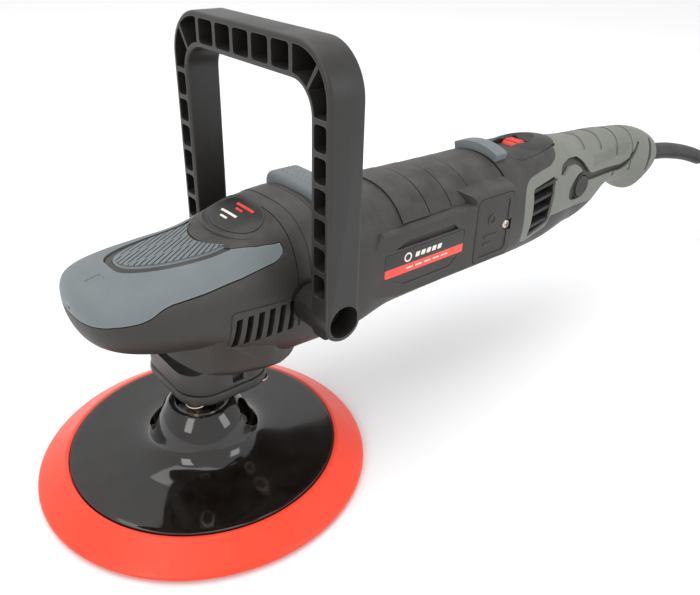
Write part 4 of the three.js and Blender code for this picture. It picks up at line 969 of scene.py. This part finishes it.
def make_barrel():
    skin = barrel_skin()
    for x0, x1, rise in ((113, 134.6, 1.0), (134.6, 153, 0.7), (153, 172, 0.35)):
        sleeve = kept(casing(BARREL, -rise), block(x0, x1, -FAR, FAR, 127.6, 200))
        skin = joined(skin, sleeve)
    for x in (134.6, 153, 172):
        groove = carve(block(x - 0.5, x + 0.5, -FAR, FAR, 127.4, 200), casing(BARREL, 0.3))
        # The grooves' walls take the second finish, near-black painted shade.
        skin = carve(skin, painted(groove, 1))
    for s in (-1, 1):
        hump = [(s * y, z) for y, z in ((20, 80), (36, 84), (38.6, 88), (38.6, 129.6),
                                        (36, 131.4), (27, 134), (20, 134))]
        ramp = [(157, s * 18), (169.5, s * 40), (204.5, s * 40), (204.5, s * 10),
                (157, s * 10)]
        skin = joined(skin, kept(slab(hump, 150, 210, "x", corner=1.5), slab(ramp, 70, 140)))
    recess = [(104, 115.4), (155, 115.4), (150, 119.4), (114, 119.6)]
    hexline = [(103, 97.2), (111.5, 92.4), (149, 92.4), (155, 97.2), (154.2, 97.4),
               (148.6, 93.2), (111.9, 93.2), (104, 97.4)]
    label = rect(96.4, 160, 98.9, 114)
    # The recess under each brush door takes the second finish, near-black painted shade.
    skin = carve(skin, painted(both_sides(COVER, 35.2, FAR, corner=4.5), 1),
                 both_sides(recess, 36.8, 50, rim=0.2), both_sides(hexline, 38.1, 50),
                 both_sides(label, 38.0, 50, corner=1.4),
                 slab(bumper_plan(0.3), 62.7, 83.3, "x", corner=5),
                 pin(34, 90, 400, (1, 0, 0), (0, 0, MOTOR_Z), 0.1, 64),
                 pin(34, 30, 92, (1, 0, 0), (0, 0, MOTOR_Z - 0.5), 0.1, 64))
    piece("motor_casing", skin, "shell cavity", stands_for="motor_housing",
          soften=0.35)
    for side, s in (("right", -1), ("left", 1)):
        make_cover(side, s)
        make_label(side, s)


def to_side(bm, s):
    """Bodies are modelled on the left (+Y) and mirrored to the right."""
    if s < 0:
        bmesh.ops.scale(bm, vec=(1, -1, 1), verts=bm.verts)
        bmesh.ops.recalc_face_normals(bm, faces=bm.faces)
    return bm


def make_cover(side, s):
    plate = slab(rect(170.4, 203.7, 86.4, 128.6), 35.4, 38.95,
                 "y", corner=4.2, rim=0.5)
    field = slab(rect(174, 200, 90, 125), 38.4, 60, "y", corner=3)
    plate = carve(plate, field)
    marks = [slab(circle_points(185, 113.5, 3.6, 3.6, 32), 37.6, 38.8, "y"),
             slab(rect(179, 191, 102, 103.6), 37.6, 38.8, "y",
                  corner=0.7),
             slab(rect(179, 187, 97, 98.6), 37.6, 38.8, "y", corner=0.7)]
    plate = joined(plate, merged(*marks))
    plate = carve(plate, slab(circle_points(185, 113.5, 2.2, 2.2, 28), 38.3, 60, "y"))
    notch = joined(pin(3.9, 37, 60, (0, 1, 0), (199.7, 0, 106.5), 0.1),
                   block(199.7, 206, 36.9, 61, 102.8, 110.2))
    # The notch's walls take the second finish, near-black painted shade.
    plate = carve(plate, painted(notch, 1))
    piece(f"brush_door_{side}", to_side(plate, s), "cover cavity",
          stands_for=f"brush_cover_{side}", soften=0.35)
    screw = joined(cross_screw((199.7, 36.5, 106.5), (0, 1, 0), 3.3, 2.2),
                   pin(3.3, 33, 36.7, (0, 1, 0), (199.7, 0, 106.5), 0.1))
    piece(f"door_screw_{side}", to_side(screw, s), "steel",
          stands_for=f"cover_screw_{side}")


def make_label(side, s):
    plate = slab(rect(96.7, 159.7, 99.2, 113.7), 37.9, 38.62, "y",
                 corner=1.2, rim=0.12)
    piece(f"label_{side}", to_side(plate, s), "label", stands_for=f"side_label_{side}")
    face = 38.55
    ring = carve(slab(circle_points(114, 108.7, 2.9, 2.9, 40), face, 38.7, "y"),
                 slab(circle_points(114, 108.7, 1.9, 1.9, 40), face - 1, 39, "y"))
    strokes = [slab([(119.5 + 4.4 * k, 107.2), (122.7 + 4.4 * k, 107.2),
                     (123.5 + 4.4 * k, 110.2), (120.3 + 4.4 * k, 110.2)], face, 38.7, "y",
                    corner=0.5, steps=3) for k in range(5)]
    piece(f"label_marks_{side}", to_side(merged(ring, *strokes), s), "mark_pale")
    dash = [slab([(113 + 7 * k, 101.6), (118 + 7 * k, 101.6), (118.4 + 7 * k, 102.5),
                  (113.4 + 7 * k, 102.5)], face, 38.7, "y") for k in range(5)]
    piece(f"label_dashes_{side}", to_side(merged(*dash), s), "mark_pale")


# ------------------------------------------------------------------ bumpers

def bumper_plan(grow):
    return [(-27 - grow, 140 - grow), (27 + grow, 140 - grow), (27 + grow, 152 + grow),
            (-27 - grow, 152 + grow)]


def make_bumpers():
    bar = slab(bumper_plan(0), 63, 83, "x", corners=[(6.5, (2, 3))], rim=2.6, steps=8)
    bar = carve(bar, casing(BARREL, 4))
    dots = []
    for row in (0, 1):
        for k in range(12):
            dots.append(pin(0.55, 0, 2, (0, 0, 1), (69.5 + 4.5 * row, -22 + 4 * k, 151.4), 0.05,
                            8))
    # The dot holes take the second finish, near-black painted shade.
    bar = carve(bar, painted(merged(*dots), 1))
    piece("front_rest", bar, "soft_grip cavity", stands_for="front_bumper")

    outer = circle_points(0, MOTOR_Z, 43.4, 43.4, 32, 90 - 25, 90 + 25)
    inner = circle_points(0, MOTOR_Z, 35.5, 35.5, 24, 90 - 27, 90 + 27)
    arch = slab(outer + inner[::-1], 207, 217.5, "x", corners=[(4, (0, len(outer) - 1))],
                rim=2.4, steps=6)
    piece("rear_rest", arch, "soft_grip", stands_for="rear_bumper")


# ------------------------------------------------------------------ D-handle

def make_d_handle():
    front, back = 34.8, 54.1
    half, wall, crown, foot = 66.8, 52.95, 233, 96.5
    outline = [(half, foot), (half, crown), (-half, crown), (-half, foot), (-wall, foot),
               (-wall, 216), (wall, 216), (wall, foot)]
    handle = slab(outline, front, back, "x",
                  corners=[(24, (1, 2)), (14, (5, 6)), (5, (0, 3, 4, 7))], rim=1.8, steps=14)
    for s in (-1, 1):
        eye = pin(10.8, 39.6, 66.3, (0, s, 0), (HANDLE_X, 0, MOTOR_Z), 1.2, 64)
        handle = joined(handle, eye)
    cuts = []
    deep = back - 3.2
    low, high = 117.8, 202.0
    step = (high - low) / 6
    for s in (-1, 1):
        for k in range(6):
            z0, z1 = low + k * step + 1.2, low + (k + 1) * step - 1.2
            y0, y1 = sorted((s * (half - 2.6), s * (wall + 2.6)))
            cuts.append(slab(rect(y0, y1, z0, z1), 20, deep, "x",
                             corner=1.8, steps=4))
        side = (circle_points(42.8, 209, 21.4, 21.4, 8, 0, 42.5)
                + circle_points(38.95, 202, 16.6, 16.6, 8, 42.5, 6)
                + [(55.55, 203.2), (64.2, 203.2)])
        top = (circle_points(42.8, 209, 21.4, 21.4, 8, 47.5, 90)
               + [(40.4, 230.4), (40.4, 218.6)]
               + circle_points(38.95, 202, 16.6, 16.6, 8, 84, 47.5))
        for ring in (side, top):
            cuts.append(slab([(s * y, z) for y, z in ring], 20, deep, "x"))
    span = 2 * 39.2 / 5
    for k in range(5):
        y0, y1 = -39.2 + k * span + 1.2, -39.2 + (k + 1) * span - 1.2
        cuts.append(slab(rect(y0, y1, 218.6, 230.4), 20, deep, "x",
                         corner=1.8, steps=4))
    handle = carve(handle, merged(*cuts))
    for s in (-1, 1):
        bore = pin(8.6, 47, 80, (0, s, 0), (HANDLE_X, 0, MOTOR_Z), 0.1, 64)
        # The bore's walls take the second finish, near-black painted shade.
        handle = carve(handle, painted(bore, 1))
        handle = carve(handle, pin(4.8, 30, 60, (0, s, 0), (HANDLE_X, 0, MOTOR_Z), 0.1))
    piece("d_handle_loop", handle, "nylon cavity", "d_handle", "d_handle", soften=0.4)


# ------------------------------------------------------------------ tail handle

TAIL = smooth_rows([
    (205, 38, 105, 143, 67, 2.15), (218, 37.6, 105, 143, 67.5, 2.3),
    (236, 36.2, 106, 143, 68.5, 2.5), (256, 34.5, 107, 142, 69.5, 2.6),
    (276, 30, 107, 140, 70, 2.6), (296, 25.5, 106, 137.5, 71, 2.5),
    (314, 23, 106, 136, 72, 2.5), (331, 20.5, 107, 135.5, 77, 2.5),
    (346, 18.5, 109, 135, 87, 2.4), (360, 17.5, 110, 133.5, 90, 2.3),
    (376, 17, 108, 132, 87, 2.3), (390, 16.5, 105, 130, 79, 2.3),
    (402, 16.5, 103, 127, 76, 2.3), (413, 15.5, 102, 123, 79, 2.2),
    (423, 13.5, 101, 118, 85, 2.2), (428.6, 11.2, 101, 113.5, 89, 2.1),
    (430, 9, 101, 110, 92, 2.1)], 5)
GRIP_SIDE = [(219.5, 100), (218.6, 112.4), (220, 122), (225.5, 128.6), (239, 130.6),
             (251.4, 131.8), (262, 134.4), (270, 138.5), (276, 143), (284, 170), (470, 170),
             (470, 50), (336.3, 50), (336.3, 87), (318, 88.7), (252.5, 98.2), (250, 91),
             (226, 84.5), (221.5, 88)]
COVER_SIDE = [(252.5, 50), (252.5, 97.6), (318, 88.1), (335.9, 86.4), (335.9, 50)]
SWITCH_PLAN = mirrored([(213, 12), (229, 22), (245, 21), (262, 17.5), (274, 13), (279, 7),
                        (280, 0.01)])
VENT_OPENING = [(228.8, 87.8), (228.8, 122), (254.6, 125.6), (253.2, 112), (251, 94)]
SWOOSH = [(262, 123.8), (265.5, 129), (279, 130.6), (293, 128.6), (301, 124), (313, 112.6),
          (338, 110.7), (362, 108.4), (374, 110.8), (381, 115.6), (387.5, 121.4),
          (390.6, 119.6), (384, 112), (377, 106.2), (365, 102.9), (340, 105.1), (315, 107),
          (306, 109), (297.5, 119.6), (290, 123.8), (278, 125.2), (268, 122)]
DROP = [(302, 117.8), (292, 116.4), (284, 113.4), (278.8, 109), (279.6, 103), (285, 99.4),
        (292, 97.4), (300, 96.6), (306, 98.6), (309.4, 103), (309.6, 109), (307, 114)]
BUTTON_AT = (300, 0, 106)
FINGER_GROOVES = ((314, -7.5), (332.5, -3), (355.5, -1.5), (377, 0.5))  # x, lean of the ends
END_SLOT = [(405.6, 94), (408.6, 93.6), (411.4, 104), (411.6, 116), (409.6, 120.6),
            (407, 119)]


def make_tail():
    under_grip = slab(GRIP_SIDE, -FAR, FAR, "y", corners=[(4, (2, 3, 6, 7))])
    under_cover = slab([(x - 0.3, z + 0.3) for x, z in COVER_SIDE], -FAR, FAR, "y")
    plan = [(x + (0.35 if x > 240 else -0.35), y * 1.02) for x, y in SWITCH_PLAN]
    # The vent openings' walls take the second finish, near-black painted shade.
    skin = carve(casing(TAIL), carve(under_grip, casing(TAIL, 2.1)),
                 carve(under_cover, casing(TAIL, 2.1)),
                 carve(slab(plan, 128, 170, corner=3), casing(TAIL, 2.6)),
                 painted(both_sides(VENT_OPENING, 22, FAR, corner=2.4), 1),
                 block(204, 206.4, -FAR, FAR, 133, 170),
                 pin(8.4, 10, FAR, (0, -1, 0), BUTTON_AT, 0.1))
    piece("tail_shell", skin, "shell cavity",
          stands_for=("handle_shell_left", "handle_shell_right"), soften=0.3)

    grip = kept(casing(TAIL), slab(GRIP_SIDE, -FAR, FAR, "y",
                                   corners=[(4, (2, 3, 6, 7)), (2, (15, 17))]))
    grip = carve(grip, casing(TAIL, 1.9),
                 slab([(x, y * 1.06) for x, y in plan], 120, 170, corner=3),
                 both_sides([(x - 0.4, z) for x, z in VENT_OPENING], 20, FAR, corner=2.4),
                 both_sides(SWOOSH, 3, FAR, corners=[(3, (1, 2, 4, 5, 13, 17, 18))]),
                 slab(DROP, -FAR, -5, "y", corner=2), both_sides(END_SLOT, 3, FAR, corner=0.8))
    grooves = []
    for x, lean in FINGER_GROOVES:
        right, left = (slab([(x - 2.3, 0), (x + 2.3, 0), (x + 2.3 + lean, s * 17.5),
                             (x - 2.3 + lean, s * 17.5)], 100, 170, corners=[(2.1, (2, 3))])
                       for s in (-1, 1))
        grooves.append(kept(joined(right, left), casing(TAIL, -2)))
    grip = carve(grip, carve(merged(*grooves), casing(TAIL, 0.75)))
    studs = []
    for row in range(5):
        for k in range(22):
            x = 318 + 2.6 * k + 1.3 * (row % 2)
            z = 117.2 + 1.7 * row - 0.02 * k
            studs.append(block(x - 0.45, x + 0.45, 8, 30, z - 0.35, z + 0.35))
    studs = merged(*studs)
    studs = merged(studs, to_side(studs.copy(), -1))
    studs = kept(studs, carve(casing(TAIL, -0.45), casing(TAIL, 0.5)))
    piece("tail_grip", merged(grip, studs), "tail_grip",
          stands_for=("handle_grip_left", "handle_grip_right"), soften=0.35)

    cover = carve(kept(casing(TAIL), slab(COVER_SIDE, -FAR, FAR, "y")), casing(TAIL, 1.9))
    piece("tail_lower_cover", cover, "shell_dark", stands_for="lower_cover",
          soften=0.5)
    make_slats()
    make_switch()
    make_button()


def make_slats():
    for side, s in (("right", -1), ("left", 1)):
        slats = []
        for k in range(4):
            z = 92.2 + 8.4 * k
            slats.append(slab([(225, z - 0.4), (256, z + 3.8), (256, z + 6.2), (225, z + 2.0)],
                              25, 33.4 - 0.1 * k, "y", rim=0.4))
        # A flat sheet behind the slats, in the near-black second finish: painted shade seen
        # through the vent.
        wall = slab(rect(224, 258, 84, 130), 24, 25.5, "y")
        slats = merged(*slats, painted(wall, 1))
        piece(f"vent_slats_{side}", to_side(slats, s), "shell_dark cavity")


def make_switch():
    dome = joined(casing(TAIL, 0.1), ball((38, 21.5, 12), (252.02, 0.011, 133.013), 50))
    dome = carve(dome, ball((18.5, 12, 10), (249.03, 0.017, 149.8), 46))
    # The slide's slot takes the second finish, near-black painted shade.
    slide = slab(rect(229, 257, -7.6, 7.6), 120, 170, corner=1.5)
    panel = carve(kept(dome, slab(SWITCH_PLAN, 128, 170, corner=3)), casing(TAIL, 5),
                  painted(slide, 1))
    piece("switch_surround", panel, "shell_dark cavity", stands_for="switch_panel",
          soften=0.4)
    cap = slab([(240.5, 131), (255.5, 131), (255.5, 139), (252.5, 141.7), (246, 143),
                (242.5, 141.9), (240.5, 139)], -6.5, 6.5, "y", corner=1, rim=0.9)
    ridges = [block(243.6 + 1.9 * k, 244.4 + 1.9 * k, -5.2, 5.2, 139.9, 143.2)
              for k in range(4)]
    cap = joined(cap, merged(*ridges),
                 slab(rect(234.5, 242, 132, 139.4), -5.6, 5.6, "y", rim=0.6))
    piece("switch_cap", cap, "red", "slide_switch", "slide_switch", soften=0.2)


def make_button():
    cap = spun([(0, 0), (7.5, 0), (7.5, 7.6), (7.2, 8.3), (6.5, 8.7), (5.6, 8.6), (5.0, 8.3),
                (3, 8.5), (0, 8.6)], 56)
    x, _, z = BUTTON_AT
    piece("lock_button", turn_to(cap, (0, -1, 0), (x, -17, z)), "cover", "side_button",
          "side_button")
    collar = pipe(7.9, 9.2, 17, 24.6, (0, -1, 0), BUTTON_AT, 0.4)
    piece("button_collar", collar, "shell_dark")


# ------------------------------------------------------------------ CAD nodes that stay

INSIDE = {
    "steel": ["spindle", "crown_gear", "motor_shaft", "pinion", "front_bearing",
              "rear_bearing", "spindle_bearing"],
    "bolt": ["handle_bolt_left", "handle_bolt_right"],
    "laminations": ["stator", "armature_core"],
    "copper": ["commutator"],
    "brass": ["spindle_bush", "brush_holder_left", "brush_holder_right"],
    "carbon": ["carbon_brush_left", "carbon_brush_right"],
    "nylon": ["fan", "bearing_bridge", "switch_module", "cord_clamp"],
    "board": ["speed_module"],
}


def dress_frame():
    for look, names in INSIDE.items():
        for name in names:
            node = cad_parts[name]
            node.data.materials.clear()
            node.data.materials.append(FINISH[look])


make_camera()
make_lead()
make_studio()
make_pad()
make_neck()
make_head()
make_barrel()
make_bumpers()
make_d_handle()
make_tail()
dress_frame()
